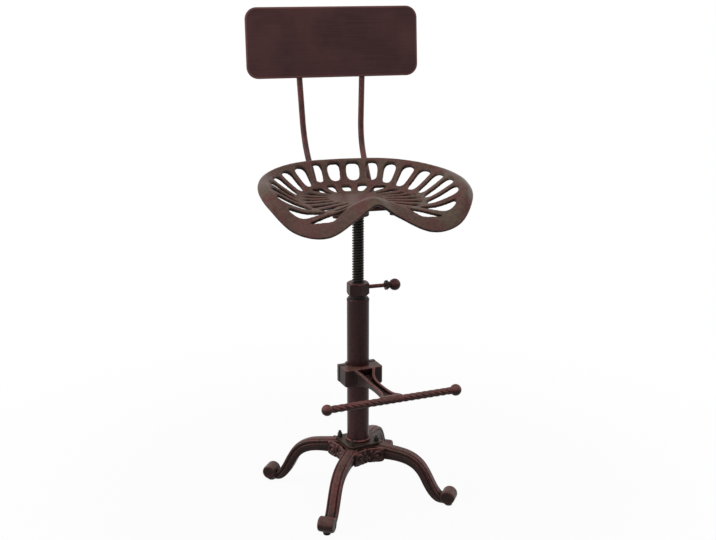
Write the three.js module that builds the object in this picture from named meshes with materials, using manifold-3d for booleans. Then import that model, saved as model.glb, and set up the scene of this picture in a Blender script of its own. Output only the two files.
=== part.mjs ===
// Tractor seat stool: a cast pierced seat pan with a backrest, on a screw column with a
// lever lock nut, a clamped footrest and four scroll legs. Millimetres, +Z up, seat front -Y.
import * as THREE from 'three';
import { mergeVertices } from 'three/addons/utils/BufferGeometryUtils.js';
import Module from 'manifold-3d';

const wasm = await Module();
wasm.setup();

const degree = Math.PI / 180;

// Clearances and cutting allowances
const fitGap = 0.3;
const overrun = 2;
const embed = 1;
const weldStep = 0.0005;

// Legs: each is one casting that butts against its neighbours below the flange
const legReach = 197;
const legRise = 106;
const legWidth = 21;
const bandWidth = 8;
const bandRise = 1.5;
const legEdgeBevel = 2;
const legTurn = -32.7;
const legCount = 4;
const scrollRadius = 14.2;
const scrollWidth = 30;
const solePadLength = 22;
const padThickness = 9;
const skirtLength = 31;
const skirtThickness = 8.5;
const skirtDrop = 29;
const skirtStandOut = 8.4;
const skirtFlare = 6.7;
const voluteRadius = 8.5;
const voluteRise = 2;
const voluteDrop = 15;
const voluteInset = 9.5;
const glideRadius = 7;
const glideHeight = 5;
const glideSink = 6;
const glidePinRadius = 2.5;

// Outline of a leg, as shares of its reach and of its rise, from below the flange outwards
const legTopShares = [
  [0.243, 1], [0.345, 0.979], [0.462, 0.947], [0.545, 0.901], [0.627, 0.809],
  [0.688, 0.698], [0.751, 0.491], [0.802, 0.311], [0.853, 0.179],
];
const legUndersideShares = [
  [0.818, 0.048], [0.776, 0.106], [0.734, 0.191], [0.69, 0.314], [0.649, 0.46], [0.61, 0.572],
  [0.57, 0.643], [0.531, 0.686], [0.452, 0.734], [0.376, 0.755], [0.239, 0.755],
];
// Lower edge of a skirt, as shares of its length and of its drop, from between the legs to the leg
const skirtEdgeShares = [
  [0, 0.95], [0.12, 1], [0.3, 0.99], [0.37, 0.93], [0.46, 0.99], [0.72, 1.01], [0.95, 1], [1, 0.93],
];

// Flange and column
const flangeSide = 68;
const flangeThickness = 6;
const flangeCornerCut = 4;
const studInset = 11;
const studRadius = 3;
const studDepth = 18;
const studStandOut = 12;
const flangeNutRadius = 5;
const flangeNutHeight = 7;
const tubeRadius = 21;
const tubeWall = 3;
const tubeLength = 287;
const tubeLipRise = 0.5;
const tubeLipLength = 4;
const tubeTopBevel = 2;
const weldLeg = 4;
const columnBore = 12;

// Thread bush, lock nut and its lever
const screwRadius = 11;
const bushLength = 34;
const bushNeckRadius = 15.5;
const bushNeckHeight = 4.5;
const lockNutRadius = 22;
const lockNutHeight = 24.5;
const lockNutBevel = 4;
const leverTurn = 2.3;
const leverRise = 1.6;
const leverRadius = 3.75;
const leverHold = 8;
const leverBallCentre = 72.5;
const leverBallRadius = 11.2;
const jamNutRadius = 9.6;
const jamNutThickness = 8;

// Screw and what rides on it
const screwExposed = 127.5;
const screwBelowBush = 92;
const spigotRadius = 7;
const guideThickness = 6;
const endNutRadius = 12.5;
const endNutHeight = 8;
const spigotStandOut = 2;

// Seat bracket
const bracketBossRadius = 20.5;
const bracketBossHeight = 20;
const bracketPlateSide = 122;
const bracketPlateThickness = 6;
const bracketPlateCorner = 14;
const bracketBoltX = 53;
const bracketBoltY = 50;
const bracketBoltRadius = 4;
const bracketBoltHeadRadius = 7;
const bracketBoltHeadHeight = 5;
const panBossRadius = 9;
const panSkin = 2.5;

// Seat pan: five rings from the hub to the rim, given every 15 degrees from the rear
const panReach = 216;
const panRise = 52;
const panThickness = 6;
const panLipWidth = 2.5;
const panSectors = 36;
const panStationDegrees = 15;
const panSlopeShare = 0.01;
const panLevelShares = [0, 0.25, 0.375, 0.5, 0.625, 0.75, 0.875, 1];
const hubReachShares = [
  0.333, 0.333, 0.306, 0.278, 0.259, 0.25, 0.241, 0.231, 0.218, 0.208, 0.204, 0.194, 0.194,
];
const waistReachShares = [
  0.463, 0.449, 0.442, 0.461, 0.475, 0.484, 0.502, 0.537, 0.579, 0.613, 0.593, 0.486, 0.426,
];
const slotEndReachShares = [
  0.56, 0.5625, 0.574, 0.627, 0.681, 0.727, 0.762, 0.819, 0.882, 0.852, 0.741, 0.593, 0.546,
];
const rimReachShares = [
  0.611, 0.613, 0.639, 0.6875, 0.727, 0.787, 0.85, 0.931, 0.993, 0.97, 0.866, 0.685, 0.634,
];
const hubRiseShares = [0, 0, 0, 0, 0, 0, 0, 0, 0, 0, 0, 0.02, 0.04];
const waistRiseShares = [
  0.19, 0.2, 0.21, 0.17, 0.145, 0.125, 0.125, 0.115, 0.096, 0.03, 0.058, 0.29, 0.4,
];
const slotEndRiseShares = [
  0.94, 0.95, 0.96, 0.93, 0.865, 0.8, 0.76, 0.72, 0.5, -0.15, -0.15, 0.17, 0.46,
];
const rimRiseShares = [1, 1, 1.01, 0.99, 0.96, 0.885, 0.8, 0.615, 0.25, -0.42, -0.58, -0.1, 0.33];

// Slots in the pan: the bars between them, by angle from the rear at their two ends
const outerBarWidth = 9.5;
const innerBarWidth = 8.5;
const waistWidth = 6;
const outerSlotRound = 14;
const waistSlotRound = 7;
const innerSlotRound = 4;
const slotCornerChord = 4;
const outerBarStartDegrees = [0, 20, 38, 52.5, 68, 86, 102, 117.5, 131, 143];
const outerBarEndDegrees = [0, 18.5, 35.6, 51, 65.5, 80.5, 95, 108.5, 122, 134.5];
const innerBarStartDegrees = [10, 26, 42, 57, 73, 92, 113, 134, 151, 164];
const innerBarEndDegrees = [10, 31.5, 54, 71.5, 86.5, 101.5, 116, 129.5, 143, 156];
const frontSlotStartDegrees = [151, 161];
const frontSlotEndDegrees = [137.5, 146.5];
const frontSlotReachShare = 0.95;

// Back rods and backrest plate
const rodRadius = 5.75;
const rodSides = 8;
const rodSteps = 24;
const rodFlatWidth = 17;
const rodFlatOverhang = 11;
const rodPelvisBackset = 99;
const rodElbowBackset = 199;
const rodElbowRise = 90;
const rodPelvisBend = 26;
const rodElbowBend = 45;
const rodSplay = 2.6;
const backLean = 5.2;
const backPlateWidth = 342;
const backPlateShift = 3.7;
const backPlateHeight = 135;
const backPlateThickness = 5;
const backPlateCorner = 23;
const backPlateEdge = 2;
const backPlateRise = 125;
const rodOverlap = 92;
const rivetRadius = 3;
const rivetHeadRadius = 5.5;
const rivetHeadHeight = 2.5;
const rivetInset = 14;
const rivetPitch = 60;

// Footrest
const footrestTurn = 8.2;
const footrestHeight = 249;
const clampWidth = 76;
const clampHeight = 33.4;
const clampCentreRise = 1.4;
const clampFrontDepth = 33;
const clampLugDepth = 12;
const clampArchWall = 5;
const clampSplit = 3;
const clampBevel = 4;
const clampBoltX = 31;
const clampBoltRadius = 4;
const clampBoltReach = 22;
const clampBoltHeadRadius = 7;
const clampBoltHeadHeight = 5.5;
const barReach = 155;
const barRadius = 6.7;
const barSpan = 252;
const barShift = 2.4;
const barBallRadius = 10.1;
const barSleeveRadius = 8.4;
const barSleeveLength = 40;
const barSleeveDrop = 3;
const armRootHalf = 21;
const armRib = 5;
const armWebDrop = 5;
const armWebReach = 142;

// Footrest arm: half-widths, tops and undersides, as shares of the bar's reach and of the root's size
const armHalfShares = [[0.2, 1], [0.3, 0.79], [0.426, 0.57], [0.68, 0.57], [1, 0.67]];
const armTopShares = [[0.2, 0.54], [0.32, 0.36], [0.49, 0.18], [1, 0.18]];
const armFootShares = [[0.2, -0.46], [0.34, -0.32], [0.51, -0.18], [1, -0.18]];

// Facets
const columnSides = 24;
const smallSides = 12;
const hexSides = 6;
const scrollSides = 16;
const ballRings = 8;
const cornerSteps = 4;
const splineSteps = 8;
const legSteps = 11;

// Levels above the floor, from the feet up
const flangeTop = legRise + flangeThickness;
const tubeTop = flangeTop + tubeLength;
const bushTop = tubeTop + bushNeckHeight;
const lockNutBase = bushTop + fitGap;
const lockNutTop = lockNutBase + lockNutHeight;
const bossBase = lockNutTop + screwExposed;
const bracketPlateBase = bossBase + bracketBossHeight;
const bracketPlateTop = bracketPlateBase + bracketPlateThickness;
const panHub = bracketPlateTop + fitGap + panThickness;
const bushBase = tubeTop - bushLength;
const screwBase = bushBase - screwBelowBush;
const tubeBore = tubeRadius - tubeWall;
const screwBore = screwRadius + fitGap;

const colours = {
  casting: ['#3e2a2a', 0.45, 0.8],
  tube: ['#35211f', 0.42, 0.8],
  black: ['#151413', 0.5, 0.7],
  rubber: ['#141414', 0.8, 0],
};

const stool = new THREE.Group();

function place(name, solid, colour, parent = stool) {
  const [hex, roughness, metalness] = colours[colour];
  const material = new THREE.MeshStandardMaterial({ color: hex, roughness, metalness });
  const mesh = new THREE.Mesh(geometryOf(solid), material);
  mesh.name = name;
  parent.add(mesh);
  return mesh;
}

// Solids and booleans

function solidOf(geometry) {
  const bare = geometry.index ? geometry.toNonIndexed() : geometry.clone();
  bare.deleteAttribute('normal');
  bare.deleteAttribute('uv');
  const welded = mergeVertices(bare, weldStep);
  const index = [];
  for (let i = 0; i < welded.index.count; i += 3) {
    const corner = [0, 1, 2].map((k) => welded.index.getX(i + k));
    if (new Set(corner).size === 3) index.push(...corner);
  }
  const solid = new wasm.Manifold(new wasm.Mesh({
    numProp: 3,
    vertProperties: new Float32Array(welded.attributes.position.array),
    triVerts: new Uint32Array(index),
  }));
  if (solid.volume() <= 0) throw new Error('a solid is inside out or empty');
  return solid;
}

function geometryOf(solid) {
  const mesh = solid.getMesh();
  const geometry = new THREE.BufferGeometry();
  geometry.setAttribute('position', new THREE.BufferAttribute(new Float32Array(mesh.vertProperties), 3));
  geometry.setIndex(new THREE.BufferAttribute(new Uint32Array(mesh.triVerts), 1));
  geometry.computeVertexNormals();
  return geometry;
}

function join(...solids) {
  return solids.reduce((whole, next) => whole.add(next));
}

function cut(solid, ...tools) {
  return tools.reduce((rest, tool) => rest.subtract(tool), solid);
}

function moved(solid, x, y, z) {
  return solid.translate([x, y, z]);
}

function turned(solid, angle) {
  return solid.rotate([0, 0, angle]);
}

// A solid of revolution about Z, from [radius, height] points listed from the bottom upwards
function lathed(profile, sides = columnSides) {
  const points = profile.map(([r, z]) => new THREE.Vector2(r, z));
  return solidOf(new THREE.LatheGeometry(points, sides).rotateX(Math.PI / 2));
}

function rod(radius, base, top, sides = smallSides) {
  return lathed([[0, base], [radius, base], [radius, top], [0, top]], sides);
}

function sleeve(radius, bore, base, top, sides = columnSides) {
  return lathed([[bore, base], [radius, base], [radius, top], [bore, top], [bore, base]], sides);
}

function ball(radius, sides = smallSides) {
  return solidOf(new THREE.SphereGeometry(radius, sides, ballRings));
}

function box(x0, x1, y0, y1, z0, z1) {
  const geometry = new THREE.BoxGeometry(x1 - x0, y1 - y0, z1 - z0);
  return moved(solidOf(geometry), (x0 + x1) / 2, (y0 + y1) / 2, (z0 + z1) / 2);
}

function prism(points, base, top, bevel = 0) {
  const shape = new THREE.Shape(points.map(([x, y]) => new THREE.Vector2(x, y)));
  const geometry = new THREE.ExtrudeGeometry(shape, {
    depth: top - base - 2 * bevel,
    bevelEnabled: bevel > 0,
    bevelSize: bevel,
    bevelOffset: -bevel,
    bevelThickness: bevel,
    bevelSegments: 1,
  });
  return moved(solidOf(geometry), 0, 0, base + bevel);
}

// A prism whose outline lies in the vertical plane of X and Z, centred across Y
function sidePrism(points, width, bevel = 0) {
  return prism(points, -width / 2, width / 2, bevel).rotate([90, 0, 0]);
}

function spline(points, steps = splineSteps) {
  const curve = new THREE.SplineCurve(points.map(([x, y]) => new THREE.Vector2(x, y)));
  return curve.getPoints(steps).map((p) => [p.x, p.y]);
}

function arc(x, y, radius, from, to, steps) {
  const span = to - from;
  return Array.from({ length: steps + 1 }, (_, i) => {
    const angle = (from + (span * i) / steps) * degree;
    return [x + radius * Math.cos(angle), y + radius * Math.sin(angle)];
  });
}

// A polygon with each corner rounded by its own radius, no larger than its sides allow
function roundedPolygon(sharp, rounds) {
  const count = sharp.length;
  return sharp.flatMap((corner, i) => {
    const here = new THREE.Vector2(...corner);
    const back = new THREE.Vector2(...sharp[(i + count - 1) % count]).sub(here);
    const ahead = new THREE.Vector2(...sharp[(i + 1) % count]).sub(here);
    const reach = Math.min(rounds[i], back.length() / 2, ahead.length() / 2);
    const start = here.clone().addScaledVector(back.normalize(), reach);
    const end = here.clone().addScaledVector(ahead.normalize(), reach);
    const steps = Math.round(rounds[i] / slotCornerChord);
    const curve = new THREE.QuadraticBezierCurve(start, here, end);
    return curve.getPoints(steps).map((p) => [p.x, p.y]);
  });
}

function roundedRectangle(width, height, corner, steps = cornerSteps) {
  const x = width / 2 - corner;
  const y = height / 2 - corner;
  return [
    ...arc(x, y, corner, 0, 90, steps), ...arc(-x, y, corner, 90, 180, steps),
    ...arc(-x, -y, corner, 180, 270, steps), ...arc(x, -y, corner, 270, 360, steps),
  ];
}

// Legs and feet

const flangeCorner = flangeSide / Math.SQRT2;
const studReach = flangeCorner - studInset;
const scrollCentre = legReach - scrollRadius;
const scrollCentreHeight = glideHeight + scrollRadius;

function legOutline() {
  const scale = ([r, h]) => [r * legReach, h * legRise];
  const top = spline(legTopShares.map(scale), legSteps);
  const under = spline(legUndersideShares.map(scale), legSteps);
  const soleOuter = scrollCentre + glideRadius;
  return [
    ...top,
    [scrollCentre, scrollCentreHeight],
    [soleOuter, glideHeight + scrollRadius / 2],
    [soleOuter, glideHeight],
    [soleOuter - solePadLength, glideHeight],
    ...under,
  ].reverse();
}

// One skirt: the scalloped wall that hangs below the flange edge, from between two legs to one of
// them. X runs along the flange edge, Y away from the column.
function skirt(side) {
  const faceAt = (x) => flangeSide / 2 + skirtStandOut + (x / skirtLength) * skirtFlare;
  const plan = [
    [0, faceAt(0) - skirtThickness], [skirtLength, faceAt(skirtLength) - skirtThickness],
    [skirtLength, faceAt(skirtLength)], [0, faceAt(0)],
  ];
  const wall = prism(plan, legRise - skirtDrop * 2, legRise);
  const edge = spline(skirtEdgeShares.map(([s, d]) => [s * skirtLength, legRise - d * skirtDrop]));
  const scallop = moved(
    sidePrism([[skirtLength, legRise], [0, legRise], ...edge], legReach), 0, legReach / 2, 0,
  );
  const voluteAt = skirtLength - voluteInset;
  const volute = moved(
    rod(voluteRadius, -skirtThickness / 2, voluteRise).rotate([-90, 0, 0]),
    voluteAt, faceAt(voluteAt), legRise - voluteDrop,
  );
  const handed = turned(join(wall.intersect(scallop), volute), -45);
  return side > 0 ? handed : handed.mirror([0, 1, 0]);
}

function leg() {
  const outline = legOutline();
  const body = sidePrism(outline, legWidth, legEdgeBevel);
  const band = moved(sidePrism(outline, bandWidth), bandRise * 0.5, 0, bandRise);
  const scroll = moved(
    rod(scrollRadius, -scrollWidth / 2, scrollWidth / 2, scrollSides).rotate([90, 0, 0]),
    scrollCentre, 0, scrollCentreHeight,
  );
  const wedge = [[fitGap, 0], [legReach, legReach - fitGap], [legReach, fitGap - legReach]];
  const half = (flangeSide / 2 + skirtStandOut) / Math.SQRT2;
  const padPlan = [[0, 0], [half, -half], [flangeCorner, 0], [half, half]];
  const pad = prism(padPlan, legRise - padThickness, legRise);
  const rootReach = legReach * legUndersideShares.at(-2)[0];
  const rootBase = legRise * legUndersideShares.at(-1)[1];
  const root = box(columnBore, rootReach, -legWidth / 2, legWidth / 2, rootBase, legRise);
  const shoulder = box(0, flangeCorner + fitGap, -legReach, legReach, legRise, legRise * 2);
  const whole = join(body, band, scroll, pad, root, skirt(1), skirt(-1));
  const trimmed = cut(whole, shoulder).intersect(prism(wedge, -legRise, legRise * 2));
  const pin = rod(glidePinRadius + fitGap, 0, glideHeight + glideSink + fitGap);
  const stud = rod(studRadius + fitGap, legRise - studDepth - fitGap, legRise + overrun);
  return cut(
    trimmed,
    rod(columnBore, -overrun, legRise + overrun, columnSides),
    moved(pin, scrollCentre, 0, 0),
    moved(stud, studReach, 0, 0),
  );
}

function glide() {
  const sole = lathed([
    [0, 0], [glideRadius - embed, 0], [glideRadius, embed], [glideRadius, glideHeight - fitGap],
    [glidePinRadius, glideHeight - fitGap], [glidePinRadius, glideHeight + glideSink],
    [0, glideHeight + glideSink],
  ], smallSides);
  return moved(sole, scrollCentre, 0, 0);
}

const corners = ['front_right', 'rear_right', 'rear_left', 'front_left'];

function addBase() {
  for (let i = 0; i < legCount; i += 1) {
    const arm = new THREE.Group();
    arm.rotation.z = (legTurn + (i * 360) / legCount) * degree;
    stool.add(arm);
    const name = corners[i];
    place(`leg_${name}`, leg(), 'casting', arm);
    place(`glide_${name}`, glide(), 'rubber', arm);
    const stud = rod(studRadius, legRise - studDepth, flangeTop + studStandOut);
    place(`flange_stud_${name}`, moved(stud, studReach, 0, 0), 'black', arm);
    const nutTop = flangeTop + flangeNutHeight;
    const nut = sleeve(flangeNutRadius, studRadius + fitGap, flangeTop, nutTop, smallSides);
    const hex = rod(flangeNutRadius, flangeTop - overrun, nutTop + overrun, hexSides);
    place(`flange_nut_${name}`, moved(nut.intersect(hex), studReach, 0, 0), 'black', arm);
  }
}

// Column

function addColumn() {
  const cutReach = flangeCorner - flangeCornerCut;
  const cornerEdge = [[cutReach, -flangeCornerCut], [cutReach, flangeCornerCut]];
  const plan = corners.flatMap((_, i) => cornerEdge.map(([x, y]) => {
    const p = new THREE.Vector2(x, y).rotateAround(new THREE.Vector2(), (i * 2 * Math.PI) / legCount);
    return [p.x, p.y];
  }));
  const square = prism(plan, legRise, flangeTop);
  const holes = corners.map((_, i) => turned(
    moved(rod(studRadius + fitGap, legRise - overrun, flangeTop + overrun), studReach, 0, 0),
    (i * 360) / legCount,
  ));
  const bore = rod(columnBore, legRise - overrun, flangeTop + overrun, columnSides);
  const flange = place('column_flange', cut(square, bore, ...holes), 'casting');
  flange.rotation.z = legTurn * degree;

  const lip = tubeRadius + tubeLipRise;
  place('column_tube', lathed([
    [tubeBore, flangeTop], [tubeRadius + weldLeg, flangeTop], [tubeRadius, flangeTop + weldLeg],
    [tubeRadius, tubeTop - tubeLipLength * 2], [lip, tubeTop - tubeLipLength],
    [tubeRadius - tubeTopBevel, tubeTop], [tubeBore, tubeTop], [tubeBore, flangeTop],
  ]), 'tube');

  const plug = tubeBore - fitGap;
  place('thread_bush', lathed([
    [screwBore, bushBase], [plug, bushBase], [plug, tubeTop], [bushNeckRadius, tubeTop],
    [bushNeckRadius, bushTop], [screwBore, bushTop], [screwBore, bushBase],
  ]), 'black');
}

// Lock nut with its lever

function addLock() {
  const lock = new THREE.Group();
  lock.rotation.z = leverTurn * degree;
  stool.add(lock);
  const body = lathed([
    [screwBore, lockNutBase], [lockNutRadius - lockNutBevel, lockNutBase],
    [lockNutRadius, lockNutBase + lockNutBevel],
    [lockNutRadius, lockNutTop - lockNutBevel], [lockNutRadius - lockNutBevel, lockNutTop],
    [screwBore, lockNutTop], [screwBore, lockNutBase],
  ]);
  const hexagon = rod(lockNutRadius, lockNutBase - overrun, lockNutTop + overrun, hexSides);
  const flatsAhead = turned(hexagon, 180 / hexSides);
  const leverLevel = (lockNutBase + lockNutTop) / 2 + leverRise;
  const leverStart = lockNutRadius - leverHold;
  const ballHold = leverBallRadius / 2;
  const leverEnd = leverBallCentre - ballHold;
  const alongX = (solid) => moved(solid.rotate([0, 90, 0]), 0, 0, leverLevel);
  const hole = alongX(rod(leverRadius + fitGap, leverStart - fitGap, lockNutRadius + overrun));
  place('lock_nut', cut(body.intersect(flatsAhead), hole), 'casting', lock);
  place('lock_lever', alongX(rod(leverRadius, leverStart, leverEnd)), 'casting', lock);
  const jamEnd = leverBallCentre - leverBallRadius - fitGap;
  const jamStart = jamEnd - jamNutThickness;
  const jam = sleeve(jamNutRadius, leverRadius + fitGap, jamStart, jamEnd, smallSides);
  const jamHex = rod(jamNutRadius, jamStart - overrun, jamEnd + overrun, hexSides);
  place('lever_jam_nut', alongX(jam.intersect(jamHex)), 'black', lock);
  const ballHole = rod(leverRadius + fitGap, -leverBallRadius - overrun, fitGap - ballHold);
  const knob = cut(ball(leverBallRadius), ballHole);
  place('lever_ball', alongX(moved(knob, 0, 0, leverBallCentre)), 'casting', lock);
}

// Screw and the pieces on its lower end

function addScrew() {
  const screwTop = bracketPlateBase - fitGap;
  const guideBase = screwBase - guideThickness;
  const endNutTop = guideBase - fitGap;
  const endNutBase = endNutTop - endNutHeight;
  const spigotBase = endNutBase - spigotStandOut;
  place('lift_screw', lathed([
    [0, spigotBase], [spigotRadius, spigotBase], [spigotRadius, screwBase], [screwRadius, screwBase],
    [screwRadius, screwTop], [0, screwTop],
  ]), 'black');
  const bore = spigotRadius + fitGap;
  place('guide_washer', sleeve(tubeBore - fitGap, bore, guideBase, screwBase - fitGap), 'black');
  const nut = sleeve(endNutRadius, bore, endNutBase, endNutTop, smallSides);
  const hex = rod(endNutRadius, endNutBase - overrun, endNutTop + overrun, hexSides);
  place('screw_end_nut', nut.intersect(hex), 'black');
}

// Seat bracket, its bolts and the pan

const boltPlaces = [[1, -1], [1, 1], [-1, 1], [-1, -1]].map(([x, y]) => [x * bracketBoltX, y * bracketBoltY]);
const rodFlatBase = bracketPlateBase - bracketPlateThickness;

function addBracket() {
  const boss = rod(bracketBossRadius, bossBase, bracketPlateBase + embed, columnSides);
  const plan = roundedRectangle(bracketPlateSide, bracketPlateSide, bracketPlateCorner);
  const plate = prism(plan, bracketPlateBase, bracketPlateTop);
  const socket = rod(screwBore, bossBase - overrun, bracketPlateBase, columnSides);
  const holes = boltPlaces.map(([x, y]) => moved(
    rod(bracketBoltRadius + fitGap, bracketPlateBase - overrun, bracketPlateTop + overrun), x, y, 0,
  ));
  place('seat_bracket', cut(join(boss, plate), socket, ...holes), 'black');
  boltPlaces.forEach(([x, y], i) => {
    const head = rod(bracketBoltHeadRadius, rodFlatBase - bracketBoltHeadHeight, rodFlatBase, hexSides);
    const shank = rod(bracketBoltRadius, rodFlatBase - embed, panHub - panSkin - fitGap);
    place(`bracket_bolt_${corners[i]}`, moved(join(head, shank), x, y, 0), 'black');
  });
}

// A value between the stations of a table, by angle from the rear, the same on both sides
function atStation(table, angle) {
  const last = table.length - 1;
  const mirrored = (i) => table[i < 0 ? -i : i > last ? 2 * last - i : i];
  const at = Math.abs(angle) / panStationDegrees;
  const i = Math.min(Math.floor(at), last - 1);
  const [a, b, c, d] = [i - 1, i, i + 1, i + 2].map(mirrored);
  const t = at - i;
  return b + (t * (c - a + t * (2 * a - 5 * b + 4 * c - d + t * (3 * (b - c) + d - a)))) / 2;
}

const panRings = [
  [hubReachShares, hubRiseShares], [waistReachShares, waistRiseShares],
  [slotEndReachShares, slotEndRiseShares], [rimReachShares, rimRiseShares],
];

function polar(angle, reach) {
  return new THREE.Vector2(Math.sin(angle * degree), Math.cos(angle * degree)).multiplyScalar(reach);
}

// The section of the pan's upper face at one angle, as reach and rise above the hub
function panSection(angle) {
  const knots = panRings.map(([reach, rise]) => new THREE.Vector2(
    panReach * atStation(reach, angle), panRise * atStation(rise, angle),
  ));
  knots.at(-1).x -= panLipWidth;
  const inner = new THREE.Vector2(knots[0].x / 2, 0);
  return new THREE.SplineCurve([inner, ...knots]);
}

function panPoint(angle, along) {
  const section = panSection(angle).getPoint(along);
  const plan = polar(angle, section.x);
  return new THREE.Vector3(plan.x, plan.y, panHub + section.y);
}

function panNormal(angle, along) {
  const across = panPoint(angle - 1, along).sub(panPoint(angle + 1, along));
  const outward = panPoint(angle, Math.min(along + panSlopeShare, 1))
    .sub(panPoint(angle, along - panSlopeShare));
  return outward.cross(across).normalize();
}

function panShell() {
  const angles = Array.from({ length: panSectors }, (_, i) => (i * 360) / panSectors - 180);
  const rings = [];
  for (const along of panLevelShares) {
    rings.push(angles.map((angle) => panPoint(angle, along)));
  }
  rings.push(angles.map((angle) => {
    const edge = panPoint(angle, 1).addScaledVector(panNormal(angle, 1), -panThickness / 2);
    const lip = polar(angle, panLipWidth);
    return edge.add(new THREE.Vector3(lip.x, lip.y, 0));
  }));
  for (const along of [...panLevelShares].reverse()) {
    rings.push(angles.map((angle) => (along === 0
      ? panPoint(angle, 0).add(new THREE.Vector3(0, 0, -panThickness))
      : panPoint(angle, along).addScaledVector(panNormal(angle, along), -panThickness))));
  }
  const top = new THREE.Vector3(0, 0, panHub);
  const bottom = new THREE.Vector3(0, 0, panHub - panThickness);
  const points = [top, ...rings.flat(), bottom];
  const at = (ring, i) => 1 + ring * panSectors + (i % panSectors);
  const index = [];
  for (let i = 0; i < panSectors; i += 1) {
    const lowest = rings.length - 1;
    index.push(0, at(0, i + 1), at(0, i), points.length - 1, at(lowest, i), at(lowest, i + 1));
    for (let r = 0; r < lowest; r += 1) {
      index.push(at(r, i), at(r, i + 1), at(r + 1, i), at(r, i + 1), at(r + 1, i + 1), at(r + 1, i));
    }
  }
  const geometry = new THREE.BufferGeometry().setFromPoints(points);
  geometry.setIndex(index);
  return solidOf(geometry);
}

// A slot between two bars, each given by its angle at the slot's near and far end
function slotBetween(first, second, nearReach, farReach, barWidth, nearRound, farRound) {
  const ends = ([near, far]) => [polar(near, nearReach(near)), polar(far, farReach(far))];
  const inset = (line, side) => {
    const along = line[1].clone().sub(line[0]).normalize();
    const shift = new THREE.Vector2(along.y, -along.x).multiplyScalar((side * barWidth) / 2);
    return line.map((p) => p.clone().add(shift));
  };
  const [left, right] = [inset(ends(first), 1), inset(ends(second), -1)];
  const sharp = [left[0], right[0], right[1], left[1]].map((p) => [p.x, p.y]);
  const outline = roundedPolygon(sharp, [nearRound, nearRound, farRound, farRound]);
  return prism(outline, panHub - panRise * 2, panHub + panRise * 2);
}

function reachAt(table, offset) {
  return (angle) => panReach * atStation(table, angle) + offset;
}

function panSlots() {
  const waistOut = reachAt(waistReachShares, waistWidth / 2);
  const waistIn = reachAt(waistReachShares, -waistWidth / 2);
  const slotEnd = reachAt(slotEndReachShares, 0);
  const hub = reachAt(hubReachShares, 0);
  const slots = [];
  const both = (first, second, ...rest) => {
    const slot = slotBetween(first, second, ...rest);
    slots.push(slot, slot.mirror([1, 0, 0]));
  };
  for (let i = 0; i < outerBarStartDegrees.length - 1; i += 1) {
    both(
      [outerBarStartDegrees[i], outerBarEndDegrees[i]],
      [outerBarStartDegrees[i + 1], outerBarEndDegrees[i + 1]],
      waistOut, slotEnd, outerBarWidth, waistSlotRound, outerSlotRound,
    );
  }
  const [firstStart, firstEnd] = [innerBarStartDegrees[0], innerBarEndDegrees[0]];
  slots.push(slotBetween(
    [-firstStart, -firstEnd], [firstStart, firstEnd],
    hub, waistIn, innerBarWidth, innerSlotRound, innerSlotRound,
  ));
  for (let i = 0; i < innerBarStartDegrees.length - 1; i += 1) {
    both(
      [innerBarStartDegrees[i], innerBarEndDegrees[i]],
      [innerBarStartDegrees[i + 1], innerBarEndDegrees[i + 1]],
      hub, waistIn, innerBarWidth, innerSlotRound, innerSlotRound,
    );
  }
  both(
    [frontSlotStartDegrees[0], frontSlotEndDegrees[0]], [frontSlotStartDegrees[1], frontSlotEndDegrees[1]],
    waistOut, (angle) => slotEnd(angle) * frontSlotReachShare, 0, innerSlotRound, innerSlotRound,
  );
  return slots;
}

function addPan() {
  const bosses = boltPlaces.map(([x, y]) => moved(
    rod(panBossRadius, bracketPlateTop + fitGap, panHub - embed), x, y, 0,
  ));
  const holes = boltPlaces.map(([x, y]) => moved(
    rod(bracketBoltRadius + fitGap, bracketPlateTop - overrun, panHub - panSkin), x, y, 0,
  ));
  const pierced = cut(panShell(), ...panSlots());
  place('seat_pan', cut(join(pierced, ...bosses), ...holes), 'casting');
}

// Back rods and backrest

const rodLevel = bracketPlateBase - bracketPlateThickness / 2;
const leanRun = Math.tan(backLean * degree);
const rodTopRise = rodElbowRise + backPlateRise + rodOverlap;

function rodPoint(backset, rise, side) {
  const splay = Math.tan(rodSplay * degree) * Math.max(0, rise);
  return new THREE.Vector3(side * (bracketBoltX + splay), backset, rodLevel + rise);
}

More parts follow.
